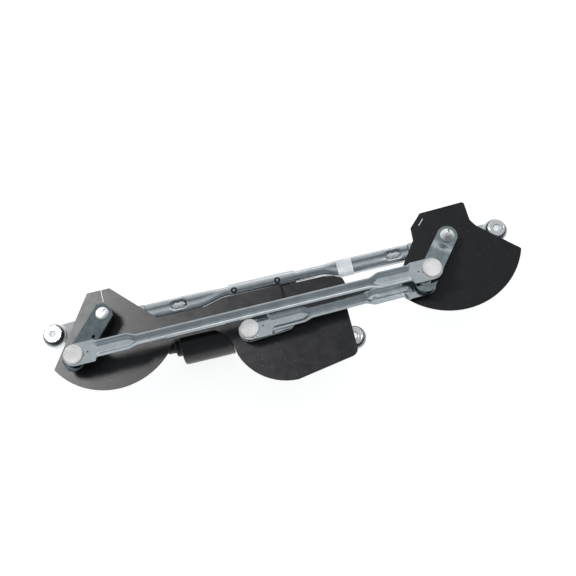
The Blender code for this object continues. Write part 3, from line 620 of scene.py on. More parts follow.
BLACK_PLASTIC = plastic("moulded_black_plastic", (0.013, 0.013, 0.014), 0.42, 0.05)
WHITE_PLASTIC = plastic("socket_plastic", (0.74, 0.72, 0.71), 0.36, 0.03, 900, 0.0,
                        {"Subsurface Weight": 0.15, "Subsurface Scale": 0.002})
LABEL = plastic("label_film", (0.80, 0.81, 0.87), 0.38, 0.12, 240)
RUBBER = plastic("moulded_rubber", (0.012, 0.012, 0.012), 0.7, 0.08, 1200)
CAN_PAINT = plastic("black_can_paint", (0.010, 0.010, 0.011), 0.34, 0.05, 700, 0.0,
                    {"Coat Weight": 0.15, "Coat Roughness": 0.2})
BRONZE = metal_powder("sintered_bronze", (0.34, 0.22, 0.10), (0.62, 0.43, 0.22), 0.42)
COPPER = metal_powder("copper_windings", (0.45, 0.17, 0.08), (0.80, 0.42, 0.24), 0.34, 0.12)
FERRITE = metal_powder("ferrite", (0.05, 0.05, 0.055), (0.12, 0.12, 0.13), 0.6)
CARBON = plastic("brush_carbon", (0.03, 0.03, 0.03), 0.5, 0.05)


# Tube frame
TUBE_RADIUS = 8.0
TUBE_WALL = 1.5
TUBE_SIDES = 112
TUBE_ENDS = span("frame_tube", 0)
TUBE_DROP = 1.2
FLAT_DROP = 4.5
FLAT_EXTRA_WIDTH = 4.5
FLAT_LESS_HEIGHT = 1.2
FLAT_GROOVE = 1.3
LEFT_BLEND = (128.0, 176.0)
RIGHT_BLEND = (314.0, 343.0)
POCKET_X = (104.0, 421.0)
POCKET_SIZE = (24.6, 12.3)
POCKET_SINK = 1.1


def tube_row(x, grow=0.0):
    """One ring of the tube at x: round in the middle, flattened with a lengthwise groove near both ends."""
    flat = 1 - smooth_step(x, *LEFT_BLEND) + smooth_step(x, *RIGHT_BLEND)
    half_width = TUBE_RADIUS + FLAT_EXTRA_WIDTH * flat + grow
    half_height = TUBE_RADIUS - FLAT_LESS_HEIGHT * flat + grow
    squareness = 2 / (2 + 1.2 * flat)
    row = []
    for k in range(TUBE_SIDES):
        a = 2 * pi * (k + 0.5) / TUBE_SIDES
        y = half_width * abs(cos(a)) ** squareness * (1 if cos(a) >= 0 else -1)
        z = half_height * abs(sin(a)) ** squareness * (1 if sin(a) >= 0 else -1)
        if z > 0:
            z -= FLAT_GROOVE * flat * exp(-((y / 3.0) ** 2)) + pocket_sink(x, y)
        row.append((x, y - TUBE_DROP - (FLAT_DROP - TUBE_DROP) * flat, z))
    return row


def pocket_sink(x, y):
    """How far the skin is drawn in round a pocket."""
    length, width = POCKET_SIZE
    nearest = min(abs(x - middle) for middle in POCKET_X)
    outside = hypot(max(nearest - (length - width) / 2, 0.0), y) - width / 2
    return POCKET_SINK * (1 - smooth_step(outside, -0.2, 1.9))


def tube_stations(start, end):
    places = [start]
    while places[-1] < end:
        x = places[-1]
        if min(abs(x - middle) for middle in POCKET_X) < 17:
            step = 0.7
        elif x < LEFT_BLEND[1] or RIGHT_BLEND[0] - 2 < x < RIGHT_BLEND[1] + 2:
            step = 2.0
        else:
            step = 7.0
        places.append(min(x + step, end))
    return places


def make_tube():
    mesh = thick(grid([tube_row(x) for x in tube_stations(*TUBE_ENDS)], around=True), TUBE_WALL, -1.0)
    pockets = [slab(stadium((x, -FLAT_DROP), *POCKET_SIZE), 1.7, 10) for x in POCKET_X]
    piece("tube", cut(mesh, *pockets), "frame", TUBE_ZINC, "zinc_plated", "frame_tube")

    stations = tube_stations(*span("identification_label", 0))
    mesh = thick(grid([tube_row(x, 0.32) for x in stations], around=True), 0.25)
    piece("label", mesh, "frame", LABEL, "label_paper", "identification_label")


BOLT_CIRCLE = 21.0
BOLTS = [polar(MOTOR_SHAFT, BOLT_CIRCLE, radians(a)) for a in (75, 195, 300)]
STAKE_X = (186.0, 249.5)
STAKE_TURN = radians(13)
STAKE_PROFILE = [(0, 2.0), (5.0, 2.0), (4.2, -1.3), (2.9, -2.1), (2.1, -0.7), (0, -0.5)]
SLEEVE_INNER = 8.3
SLEEVE_OUTER = 10.3


def make_bracket():
    """Sleeve staked to the tube, with the plate that carries the motor."""
    outline = [(184, -3), (256, -3), (276, -58), (270, -92), (226, -96), (206, -70)]
    holes = [circle(MOTOR_SHAFT, 13.5)] + [circle(bolt, 3.2, 32) for bolt in BOLTS]
    plate = slab(soften(outline, 7, True), -12.5, -9.7, holes, 0.4)
    ends = span("motor_bracket", 0)
    sleeve = moved(ring(SLEEVE_INNER - 1, SLEEVE_OUTER, *ends, 0.5), lying(-TUBE_DROP))
    web = block((184.3, -10.4, -10.5), (255.7, -6.5, -4.5), 0.3)
    bore = moved(drum(SLEEVE_INNER, ends[0] - 5, ends[1] + 5, 72), lying(-TUBE_DROP))
    mesh = cut(join(plate, web, sleeve), bore)
    dents = []
    for x in STAKE_X:
        turn = frame_at((x, -TUBE_DROP)) @ Matrix.Rotation(STAKE_TURN, 4, "X")
        dents.append(moved(turned(STAKE_PROFILE, 0.25, 40), turn @ frame_at((0, 0), 0, SLEEVE_OUTER)))
    y = -TUBE_DROP - SLEEVE_OUTER * sin(STAKE_TURN)
    # Painted shade: a dark ring round each punch mark of the sleeve, where the groove lies in shade.
    stake_shade(BRACKET_ZINC, [(x, y) for x in STAKE_X], 4.6, (0.035, 0.04, 0.045))
    piece("bracket", cut(mesh, *dents), "frame", BRACKET_ZINC, "zinc_plated", "motor_bracket")


# Pivot housings and body mounts
LUG_RADIUS = 17.0
LUG_BORE = 10.7
LUG_HEIGHT = 12.0
DISC_RISE = 8.5


def lug_place(side):
    """Centre of a mounting lug and the height of its top face."""
    x, y = centre("mount_sleeve_" + side)
    return x, y, high("mount_sleeve_" + side).z - DISC_RISE


def tongue(ends, half_width, bottom, top):
    """A bar in the flattened tube's middle, between two places in x."""
    left, right = sorted(ends)
    return block((left, -FLAT_DROP - half_width, bottom), (right, -FLAT_DROP + half_width, top))


def make_pivot_housing(side, pivot, sign):
    """Die-cast housing: barrel, tongue in the tube's end, and the ribbed arm to the body mount."""
    x0 = pivot[0]
    lug_x, lug_y, top = lug_place(side)
    base = top - LUG_HEIGHT
    arm = [(x0 + sign * 2, 12.5), (lug_x, lug_y + 14.6), (lug_x, lug_y - 14.6), (x0 + sign * 2, -12.5)]
    solids = [slab(arm, base + 1.5, top - 2.5), post(pivot, 13.0, -32, 5.5)]
    solids.append(post((lug_x, lug_y), LUG_RADIUS, base, top))
    solids.append(tongue((x0, x0 + sign * (TUBE_ENDS[0] - GAP)), 12, -6.6, 6.4))
    solids.append(tongue((x0 + sign * 40, x0 + sign * 114), 9, -3.2, 3.0))
    pocket = POCKET_X[0] if sign > 0 else POCKET_X[1]
    solids.append(slab(stadium((pocket, -FLAT_DROP), 18, 7.5), 0, 4.6))
    solids.append(tongue((pocket - 10.5, pocket + 10.5), 1.2, 0, 5.0))
    for x in (pocket - 4, pocket + 4):
        solids.append(tongue((x - 1.1, x + 1.1), 5, 0, 5.2))
    for side_y in (-1, 1):
        rib = sorted((x0 + sign * 14, x0 - sign * 50))
        edge_y = side_y * 10.5
        end = rib[1] if sign < 0 else x0
        solids.append(block((rib[0], edge_y - 1.2, -27), (end, edge_y + 1.2, base + 3)))
    mesh = cut(cast(solids), post(pivot, 8.3, -40, 12), post((lug_x, lug_y), LUG_BORE, base - 5, top + 5))
    piece(side + "_housing", mesh, "frame", CASTING, "cast_aluminium", side + "_pivot_housing")


def make_mount(side):
    """Rubber grommet in the lug and the flanged steel sleeve for the body's bolt."""
    x, y, top = lug_place(side)
    base = top - LUG_HEIGHT
    spot = frame_at((x, y))
    groove = LUG_BORE - GAP
    profile = [(13.0, top + 6.4), (14.3, top + 5.4), (13.7, top + 3.4), (14.3, top + 1.6), (14.0, top + GAP)]
    profile += [(groove, top + GAP), (groove, base - GAP), (14.3, base - GAP), (14.3, base - 2.6)]
    profile += [(13.4, base - 3.6), (6.4, base - 3.6), (6.4, top + 6.4)]
    piece("grommet_" + side, turned(profile, 0.6, closed=True), "frame", RUBBER, "rubber",
          "mount_grommet_" + side, place=spot)
    disc = top + DISC_RISE - 1.8
    face = top + DISC_RISE
    profile = [(12.6, disc), (12.6, face - 0.7), (11.7, face), (10.4, face), (10.1, face - 0.22), (9.8, face)]
    profile += [(5.5, face), (4.5, face - 0.9), (4.5, base - 3.6), (6.1, base - 3.6), (6.1, disc)]
    piece("bolt_sleeve_" + side, turned(profile, 0.35, closed=True), "frame", DISC_ZINC, "zinc_plated",
          "mount_sleeve_" + side, place=spot)


# Spindles
SPINDLE_RADIUS = 6.0
KNURL_HEIGHTS = (-59.4, -50.6)
THREAD_HEIGHTS = (-74.2, -61.0)
THREAD_PITCH = 1.25
THREAD_STEP = 0.21
KNURL_TEETH = 30
HEAD_PROFILES = {
    "left": [(0, 3.6), (4.4, 3.35), (7.6, 2.5), (9.4, 1.3), (9.4, 0)],
    "right": [(0, 6.4), (3.0, 6.3), (5.0, 5.0), (9.4, 1.7), (10.2, 0.9), (10.2, 0)],
}


def thread(angle, height):
    """Change of radius on a screw thread, down from its outer radius."""
    return 0.3 * cos(angle - 2 * pi * height / THREAD_PITCH) - 0.3


def spindle_relief(angle, height):
    """Fine teeth on the cone and a screw thread on the tip."""
    if KNURL_HEIGHTS[0] < height < KNURL_HEIGHTS[1]:
        return 0.16 * cos(KNURL_TEETH * angle)
    return thread(angle, height) if THREAD_HEIGHTS[0] < height < THREAD_HEIGHTS[1] else 0.0


def threaded(radius, top, bottom):
    """Rows close enough together to carry the thread."""
    count = round((top - bottom) / THREAD_STEP)
    return [(radius, top + (bottom - top) * i / count) for i in range(count + 1)]


def make_spindle(side, axis, head_top, plate, look):
    body = side + "_crank"
    head = [(r, head_top + GAP + z) for r, z in HEAD_PROFILES[side]]
    head += [(5.0, head_top + GAP), (5.0, head_top - 1.0), (0, head_top - 1.0)]
    piece(side + "_rivet_head", turned(head, 0.8), body, look, "bright_steel", side + "_spindle", place=axis)
    under = head_top - plate - GAP
    profile = [(0, under), (SPINDLE_RADIUS, under), (SPINDLE_RADIUS, -34.6), (5.0, -34.6), (5.0, -36.0)]
    profile = soften(profile + [(SPINDLE_RADIUS, -36.0), (SPINDLE_RADIUS, -50)], 0.25)
    profile += [(SPINDLE_RADIUS - 1.1 * (-50.6 - z) / 9, z) for z in (-50.7, -51.1, -55, -59, -59.3)]
    profile += [(4.9, -60), (4.0, -60.4)] + threaded(4.0, -60.8, -74.3) + [(3.2, BOTTOM), (0, BOTTOM)]
    mesh = turned(profile, 0, 4 * KNURL_TEETH, relief=spindle_relief)
    piece(side + "_spindle_shaft", mesh, body, STEEL, "bright_steel", side + "_spindle", place=axis)


def make_spindle_fittings(side, pivot):
    spot = frame_at(pivot)
    for level in ("upper", "lower"):
        node = f"{side}_{level}_bush"
        mesh = ring(SPINDLE_RADIUS + GAP, 8.0, *span(node, 2), 0.4)
        piece(node + "_sintered", mesh, "frame", BRONZE, "bearing_bronze", node, place=spot)
    node = side + "_shaft_seal"
    z = low(node).z
    profile = [(7.9, z + 1.6), (8.0, z + 0.8), (7.9, z), (6.6, z), (6.3, z + 0.8), (6.6, z + 1.6)]
    mesh = turned(profile, 0.2, closed=True)
    piece(side + "_lip_seal", mesh, "frame", RUBBER, "rubber", node, place=spot)
    node = side + "_retaining_ring"
    gap = block((0, -1.6, -40), (12, 1.6, -30))
    mesh = cut(ring(5.3, 8.6, *span(node, 2), 0.15), gap)
    piece(side + "_clip", mesh, side + "_crank", STEEL, "bright_steel", node, place=spot)


# Cranks
def make_left_crank():
    """Pressed crank with faceted ends, its rim turned down."""
    outline = [(-15, -6), (-13, 6), (-5, 14.5), (78, 15.5), (86, 11), (91, -1), (85, -13), (80, -15.5)]
    outline.append((-8, -15))
    inner = [(-12.4, -5), (-10.6, 5), (-4, 12.2), (77, 13.2), (84, 9.5), (88.2, -1), (83, -11.2), (79, -13.2)]
    inner.append((-7, -12.8))
    mesh = slab(soften(outline, 1.6, True), CRANK_TOP - 9.5, CRANK_TOP, edge=1.1, edge_steps=3)
    mesh = cut(mesh, slab(soften(inner, 1.2, True), CRANK_TOP - 15, CRANK_TOP - LEFT_PLATE, edge=0.8))
    hole = moved(turned([(0, 1), (3.1, 1), (3.1, 0.1), (2.0, -1.0), (2.0, -8), (0, -8)], 0, 40),
                 Matrix.Translation((34, 6, CRANK_TOP)))
    piece("left_crank_arm", cut(mesh, hole), "left_crank", CRANK_PLATING_PAINTED_SHADE, "zinc_plated", "left_crank",
          place=LEFT_AXIS)


CRANK_RADIUS = 14.6


def round_width(u, length, radius):
    """Half the width at u of a bar with round ends about 0 and length."""
    past = max(-u, u - length, 0.0)
    return sqrt(max(radius**2 - past**2, 0.0))


def end_places(middle, radius, side):
    """Places along a round end, closer together towards its tip."""
    return [middle + side * radius * cos(radians(4 + 86 * i / 14)) for i in range(15)]


def make_right_crank():
    """Flat crank with a double bend between its spindle end and its two balls."""
    rise = CRANK_TOP - RIGHT_PLATE
    bends = [(0.5, RIGHT_LOW), (15.5, RIGHT_LOW), (28.0, rise), (LOWER_THROW - 0.5, rise)]
    near, far = end_places(0, CRANK_RADIUS, -1), end_places(LOWER_THROW, CRANK_RADIUS, 1)
    under = [(u, RIGHT_LOW) for u in near] + soften(bends, 3.0, steps=7) + [(u, rise) for u in reversed(far)]
    upper = [(u, RIGHT_LOW + RIGHT_PLATE) for u in near] + soften(raised(bends, RIGHT_PLATE), 3.0, steps=7)
    upper += [(u, rise + RIGHT_PLATE) for u in reversed(far)]
    rings = []
    for (u, z), (top_u, top_z) in zip(under, upper):
        half, top_half = (round_width(place, LOWER_THROW, CRANK_RADIUS) for place in (u, top_u))
        row = [(u, v / 6 * half, z) for v in range(-6, 7)]
        rings.append(row + [(top_u, v / 6 * top_half, top_z) for v in range(6, -7, -1)])
    piece("right_crank_arm", bevelled(lofted(rings), 0.8, 3), "right_crank", RIGHT_CRANK_PLATING_PAINTED_SHADE, "zinc_plated",
          "right_crank", place=RIGHT_AXIS)


def make_motor_crank():
    """Pressed crank with a rim turned up."""
    ball, tip, rim = 16.2, 14.2, 2.0
    lean = degrees(asin((ball - tip) / MOTOR_THROW))

    def outline(inset):
        points = arc((MOTOR_THROW, 0), ball - inset, -90 - lean, 90 + lean, 40)
        return points + arc((0, 0), tip - inset, 90 + lean, 270 - lean, 36)

    mesh = slab(outline(0), MOTOR_CRANK_BOTTOM, MOTOR_CRANK_RIM, edge=0.7, edge_steps=3)
    mesh = cut(mesh, slab(outline(rim), MOTOR_CRANK_FLOOR, 30, edge=1.0, edge_steps=3))
    piece("motor_crank_arm", mesh, "motor_crank", ZINC, "zinc_plated", "motor_crank", place=MOTOR_AXIS)


# Ball joints
CAVITY = 6.5
LEFT_CAVITY = 8.6
PLATE_BELOW_BALL = 0.8
CAP_RADIUS = 13.0
SOCKET_WALL = 1.6


def make_stud(name, body, place, plate, node):
    """Ball stud round height 0, riveted through a plate BALL_RISE below it; plate 0 has no rivet."""
    seat = -BALL_RISE
    neck = 180 - degrees(asin(3.6 / BALL_RADIUS))
    ball = [(BALL_RADIUS * sin(radians(a)), BALL_RADIUS * cos(radians(a)))
            for a in [neck * i / 24 for i in range(25)]]
    foot = [ball[-1], (3.6, seat + 2.2), (7.4, seat + 1.6), (7.4, seat + GAP)]
    if plate:
        foot += [(3.9, seat + GAP), (3.9, seat - plate - GAP), (5.6, seat - plate - GAP)]
        foot += [(5.0, seat - plate - 1.6), (0, seat - plate - 1.6)]
    else:
        foot.append((0, seat + GAP))
    mesh = turned(ball + soften(foot, 0.4)[1:], 0)
    piece(name, mesh, body, STEEL, "bright_steel", node, place=place)


def make_socket(name, body, place, cavity, node):
    """Plastic ball socket snapped through a rod's end plate: shallow dome, raised rim, open skirt."""
    neck = cavity + SOCKET_WALL
    skirt = neck + 1.3
    seat = -PLATE_BELOW_BALL - GAP
    profile = [(0, 7.35), (0.9, 7.35), (1.2, 7.7), (4.5, 7.62), (8.6, 7.3), (10.3, 7.05), (10.9, 7.9)]
    profile += [(12.0, 7.9), (CAP_RADIUS, 6.4), (CAP_RADIUS, 1.6), (12.6, 1.0), (neck, 1.0), (neck, seat)]
    profile += [(skirt, seat), (skirt - 0.4, -5.2), (cavity, -5.2), (cavity - 0.4, -3.4), (cavity, 0)]
    profile += [(cavity - 0.9, 3.4), (cavity - 3.4, 5.9), (0, 6.4)]
    piece(name, turned(profile, 0.5), body, WHITE_PLASTIC, "white_plastic", node, place=place)


def make_ball_joints():
    left = LEFT_AXIS @ frame_at((LEFT_THROW, 0), 0, SWING_BALL)
    upper = RIGHT_AXIS @ frame_at((UPPER_THROW, 0), 0, SWING_BALL)
    motor = frame_at(MOTOR_BALL, 0, MOTOR_BALL_HEIGHT)
    lower = frame_at(LOWER_BALL, 0, LOWER_BALL_HEIGHT) @ Matrix.Rotation(pi, 4, "X")
    for side, body, place, plate in (
            ("left", "left_crank", left, LEFT_PLATE),
            ("right_upper", "right_crank", upper, RIGHT_PLATE),
            ("motor", "motor_crank", motor, MOTOR_CRANK_FLOOR - MOTOR_CRANK_BOTTOM),
            ("right_lower", "drive_rod", lower, 0)):
        make_stud(side + "_stud", body, place, plate, side + "_ball_stud")
    for side, body, place, cavity in (
            ("left", "long_rod", left, LEFT_CAVITY),
            ("right_upper", "long_rod", upper, CAVITY),
            ("motor", "drive_rod", motor, CAVITY),
            ("right_lower", "drive_rod", lower, CAVITY)):
        make_socket(side + "_socket", body, place, cavity, side + "_ball_socket")
    top = CRANK_TOP + GAP
    foot = CRANK_TOP - RIGHT_PLATE + 0.6
    profile = [(0, top + 1.2), (1.6, top + 1.3), (2.4, top + 1.8), (4.6, top + 1.7), (6.4, top + 0.8)]
    profile += [(6.4, top), (3.7, top), (3.7, foot), (0, foot)]
    piece("right_lower_rivet", turned(profile, 0.5), "right_crank", STEEL, "bright_steel",
          "right_lower_stud_head", place=RIGHT_AXIS @ frame_at((LOWER_THROW, 0)))


# Link rods
PLATE_HALF = 15.6
PLATE_FLOOR = 11.4
END_HALF = 11.8
END_FLOOR = 8.0
MID_HALF = 7.75
MID_FLOOR = 3.7
RIM_RISE = 5.2
RIM_LIP = 1.3
HOLE_PLACE = 19.0
HOLE_RADIUS = 1.1
NOTCH = (26.5, 33.0)
TAPER = (74.0, 90.0)


def rod_row(u, from_end, base, mid):
    """A cross-section of a rod: flat plate round the socket, then a channel with lipped rims that narrows."""
    notch = smooth_step(from_end, *NOTCH)
    taper = smooth_step(from_end, *TAPER)
    round_end = sqrt(max(PLATE_HALF**2 - min(from_end, 0.0) ** 2, 0.0))
    half = round_end + (END_HALF - PLATE_HALF) * notch + (MID_HALF - END_HALF) * taper
    floor = min(PLATE_FLOOR, half * 0.78) + (END_FLOOR - PLATE_FLOOR) * notch
    floor += (MID_FLOOR - END_FLOOR) * taper
    rise = RIM_RISE * notch
    shoulder = half - RIM_LIP * notch - 0.12 * (half - floor)
    z = base + (mid - base) * taper
    corners = [(-half, z + rise), (-shoulder, z + rise), (-floor, z), (0, z)]
    corners += [(-v, h) for v, h in reversed(corners[:-1])]
    under = soften(corners, 1.3, steps=5)
    upper = soften(raised(corners, ROD_SHEET), 1.3, steps=5)
    return [(u, v, h) for v, h in under + upper[::-1]]


def rod_places():
    """Distances from a rod's ball where its section is drawn."""
    places = end_places(0, PLATE_HALF, -1)
    places += [4, 9, 14, 19, 24] + [26.5 + 6.5 * i / 12 for i in range(13)]
    places += [36, 46, 58, 70] + [74 + 16 * i / 14 for i in range(15)] + [96]
    return places


def make_rod(name, node, body, axis, length, heights, mid, cavities):
    """A pressed link rod between two sockets, the first at 0 and the second at length."""
    places = rod_places()
    rows = [rod_row(d, d, heights[0], mid) for d in places]
    rows += [rod_row(length - d, d, heights[1], mid) for d in reversed(places)]
    mesh = lofted(rows)
    for ball, side, cavity in ((0, 1, cavities[0]), (length, -1, cavities[1])):
        mesh = cut(mesh, post((ball, 0), cavity + SOCKET_WALL + GAP, -20, 60),
                   post((ball + side * HOLE_PLACE, 0), HOLE_RADIUS, -20, 60, 24))
    piece(name, bevelled(mesh, 0.3), body, ZINC, "zinc_plated", node, place=axis)


def make_rods():
    base = SWING_BALL - PLATE_BELOW_BALL
    make_rod("long_rod_channel", "long_link_rod", "long_rod", LONG_AXIS, LONG_LENGTH, (base, base),
             low("long_link_rod").z, (CAVITY, LEFT_CAVITY))
    start = MOTOR_BALL_HEIGHT - PLATE_BELOW_BALL
    end = LOWER_BALL_HEIGHT + PLATE_BELOW_BALL - ROD_SHEET
    make_rod("drive_rod_channel", "drive_link_rod", "drive_rod", DRIVE_AXIS, DRIVE_LENGTH, (start, end),
             start - 3.0, (CAVITY, CAVITY))


# Motor and gear housing
CAN_RADIUS = 30.0
CAN_WALL = 2.0
HOUSING_X = low("gear_housing").x
HOUSING_TOP = -14.0
HOUSING_FOOT = BOTTOM + 3.0


def make_motor_shells():
    x0, x1 = span("motor_can", 0)
    profile = [(7.0, x0), (7.0, x0 + CAN_WALL), (28.0, x0 + CAN_WALL), (28.0, x1), (CAN_RADIUS, x1)]
    profile += [(CAN_RADIUS, x1 - 3.2), (29.5, x1 - 3.6), (29.5, x1 - 4.8), (CAN_RADIUS, x1 - 5.2)]
    profile += [(CAN_RADIUS, x0 + 1.2), (CAN_RADIUS - 2.4, x0), (19, x0), (18.4, x0 + 0.7), (16.8, x0 + 0.7)]
    profile.append((16.2, x0))
    mesh = turned(profile, 5.0, 128, closed=True)
    piece("can", mesh, "frame", CAN_PAINT, "black_paint", "motor_can", place=CAN_AXIS)
    end = x0 - GAP
    steps = [(0, 19.0), (6.3, 19.0), (6.3, 0), (16.0, 0), (16.0, 7.0), (14.8, 9.0), (10.0, 9.0), (9.9, 14.6)]
    steps += [(9.2, 15.0), (9.2, 16.4), (9.9, 16.8), (9.6, 20.5), (8.6, 21.8), (0, 21.8)]
    mesh = turned([(radius, end - depth) for radius, depth in steps], 0.5, 96)
    grips = [moved(block((-0.9, 15.2, end - 12), (0.9, 18, end + 2)), frame_at((0, 0), 2 * pi * k / 12))
             for k in range(12)]
    piece("end_cap", cut(mesh, *grips), "frame", BLACK_PLASTIC, "black_plastic", "motor_end_cap",
          place=CAN_AXIS)


def housing_outline(start):
    """Plan of the gear housing: worm tunnel along the back, round wheel case in front."""
    front = arc(MOTOR_SHAFT, 25.5, 212, 362, 40)
    return [(start, -24), (start, -77), (205, -82)] + front + [(283, -58), (283, -37)]


def make_gear_housing():
    lug_x, lug_y, top = lug_place("lower")
    base = top - LUG_HEIGHT
    solids = [slab(housing_outline(HOUSING_X + 1), HOUSING_FOOT, HOUSING_TOP)]
    solids.append(moved(drum(CAN_RADIUS - 0.4, HOUSING_X, HOUSING_X + 4), CAN_AXIS))
    solids.append(post(MOTOR_SHAFT, 12.5, -20, 5.5))
    arm = [(262, -50), (262, -88), (lug_x - 10, lug_y - 12.5), (lug_x + 6, lug_y + 12)]
    solids += [slab(arm, base + 1, HOUSING_TOP + 0.8), post((lug_x, lug_y), LUG_RADIUS, base, top)]
    for x in (176, 188, 200, 212):
        solids.append(block((x - 1, -25.5, HOUSING_FOOT + 6), (x + 1, -20.8, HOUSING_TOP - 6)))
    for shift in (-6.0, 6.0):
        far, near = lug_y + shift, -76 + shift
        rib = [(265, near - 1.2), (265, near + 1.2), (lug_x - 6, far + 1.2), (lug_x - 6, far - 1.2)]
        solids.append(slab(rib, base - 9, base + 3))
    for k in range(5):
        angle = radians(215 + 26 * k)
        middle = polar(MOTOR_SHAFT, 26.0, angle)
        fin = block((-2, -1, HOUSING_FOOT + 4), (1.3, 1, HOUSING_TOP - 4))
        solids.append(moved(fin, frame_at(middle, angle)))
    mesh = cut(cast(solids, 1.1), post((lug_x, lug_y), LUG_BORE, base - 12, top + 5),
               post(MOTOR_SHAFT, 17.0, -80, -36), moved(drum(7.0, 160, 276), CAN_AXIS),
               post(MOTOR_SHAFT, 8.3, -60, 12), *[post(bolt, 3.2, -24, -5, 24) for bolt in BOLTS])
    piece("gear_case", mesh, "frame", CASTING, "cast_aluminium", "gear_housing")


COVER_SCREWS = [(178, -31), (178, -71), (216, -33), (268, -43), (264, -74)]
SOCKET_LOW = (286, -69.5, BOTTOM + 2.5)
SOCKET_HIGH = (315, -46.5, -58.5)


def make_gear_cover():
    """Plastic cover with sunk screws, and the connector's open shroud with its blades."""
    mesh = slab(housing_outline(HOUSING_X + 4.6), BOTTOM, HOUSING_FOOT - GAP, edge=0.6)
    mesh = join(mesh, block((276, -72, BOTTOM), (309, -44, -56), 0.8),
                block((293, -62, -57), (303, -54, -55.2), 0.3))
    mesh = cut(mesh, block(SOCKET_LOW, SOCKET_HIGH), block((270, -80, -72.1), (283.4, -30, -50)))
    wells = [post(spot, 4.0, BOTTOM - 2, BOTTOM + 1.6, 40) for spot in COVER_SCREWS]
    piece("gear_case_cover", cut(mesh, *wells), "frame", BLACK_PLASTIC, "black_plastic", "gear_cover")
    for i, spot in enumerate(COVER_SCREWS):
        head = turned([(0, BOTTOM + 0.2), (2.4, BOTTOM + 0.2), (3.4, BOTTOM + 0.9), (3.4, BOTTOM + 1.6),
                       (0, BOTTOM + 1.6)], 0.25, 40)
        slots = [block((-1.9, -0.4, BOTTOM - 1), (1.9, 0.4, BOTTOM + 0.9)),
                 block((-0.4, -1.9, BOTTOM - 1), (0.4, 1.9, BOTTOM + 0.9))]
        piece(f"cover_screw_{i + 1}", cut(head, *slots), "frame", STEEL, "bright_steel",
              place=frame_at(spot, radians(20 * i)))
    for i in range(4):
        y = SOCKET_LOW[1] + 4.0 + 5.0 * i
        blade = block((285.6, y - 1.3, -66.3), (300, y + 1.3, -65.5), 0.2)
        piece(f"connector_blade_{i + 1}", blade, "frame", STEEL, "bright_steel")


def make_output():
    """Output shaft with its nut and bearing, and the bolts that hold the gear housing to the bracket."""
    at_shaft = frame_at(MOTOR_SHAFT)
    floor = MOTOR_CRANK_FLOOR + GAP
    nut = combined(slab(hexagon(7.5), floor + 0.6, floor + 5.4, edge=0.05),
                   turned([(0, floor - 1), (8.2, floor - 1), (8.2, floor + 4.5), (6.0, floor + 5.6),
                           (0, floor + 5.6)], 0), "INTERSECT")
    nut = join(nut, drum(9.2, floor, floor + 1.2, 72, 0.4))
    nut = cut(nut, drum(4.25, 0, 40))
    piece("flange_nut", nut, "motor_crank", STEEL, "bright_steel", "crank_nut", place=at_shaft)

    def shaft_relief(angle, height):
        return thread(angle, height) if height > MOTOR_CRANK_FLOOR else 0.0

    top = high("output_shaft").z
    profile = [(0, top), (3.4, top)] + threaded(4.0, top - 0.6, MOTOR_CRANK_FLOOR)
    under = MOTOR_CRANK_BOTTOM - GAP
    profile += [(4.0, under), (5.0, under), (5.0, -52.0), (4.4, -52.8), (0, -52.8)]
    piece("output_spindle", turned(profile, 0, 48, relief=shaft_relief), "motor_crank", STEEL, "bright_steel",
          "output_shaft", place=at_shaft)
    for i, bolt in enumerate(BOLTS):
        head = combined(slab(hexagon(5.4, radians(12 * i)), -9.4, -5.4, edge=0.1),
                        turned([(0, -10), (6, -10), (6, -6.2), (4.3, -5.3), (0, -5.3)], 0), "INTERSECT")
        mesh = cut(join(head, drum(2.8, -21.5, -7.0)), drum(2.6, -6.2, -4, 32))
        piece(f"housing_bolt_{i + 1}", mesh, "frame", STEEL, "bright_steel", f"motor_bolt_{i + 1}",
              place=frame_at(bolt))
    bearing = ring(5.3, 8.0, *span("output_bush", 2), 0.4)
    piece("output_bearing", bearing, "frame", BRONZE, "bearing_bronze", "output_bush", place=at_shaft)


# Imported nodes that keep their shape
PACKED_WELD = 0.005
PACKED_BEVEL_ANGLE = radians(42)


def refine(node, look, edge, segments=2):
    """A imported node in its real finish, its edges rounded by modifiers."""
    shown = frame["nodes"][node]
    shown.data.materials.clear()
    shown.data.materials.append(look.material)
    weld = shown.modifiers.new("weld", "WELD")
    weld.merge_threshold = PACKED_WELD * MM
    bevel = shown.modifiers.new("edges", "BEVEL")
    bevel.width = edge * MM
    bevel.segments = segments
    bevel.angle_limit = PACKED_BEVEL_ANGLE
    shown.modifiers.new("normals", "WEIGHTED_NORMAL")


def refine_packed_nodes():
    for node in ("left_shield", "middle_shield", "right_shield"):
        refine(node, SHIELD, 0.45, 3)
    for look, edge, *nodes in (
            (COPPER, 0.15, "armature_core", "commutator"),
            (BRONZE, 0.15, "armature_bearing_rear", "armature_bearing_front"),
            (FERRITE, 0.3, "field_magnet_upper", "field_magnet_lower"),
            (CARBON, 0.15, "brush_back", "brush_front"),
            (BLACK_PLASTIC, 0.15, "brush_holder"),
            (STEEL, 0.1, "armature_shaft"),
            (WHITE_PLASTIC, 0.12, "worm_wheel")):
        for node in nodes:
            refine(node, look, edge)


# Camera, floor and light
CAMERA_PLACE = (-0.01975, -0.3133, 1.1723)
CAMERA_TARGET = (0.01015, 0.0300, 0.09)
CAMERA_ROLL = radians(-8.35)
FLOOR_SIZE = 12.0
FLOOR_DROP = 0.0005


def make_camera():
    data = bpy.data.cameras.new("camera")
    data.lens = 50.0
    data.sensor_width = 36.0
    camera = carrier(data, "camera")
    camera.location = CAMERA_PLACE
    aim = (Vector(CAMERA_TARGET) - Vector(CAMERA_PLACE)).to_track_quat("-Z", "Y")
    camera.rotation_mode = "QUATERNION"
    camera.rotation_quaternion = (aim.to_matrix() @ Matrix.Rotation(CAMERA_ROLL, 3, "Z")).to_quaternion()
    bpy.context.scene.camera = camera


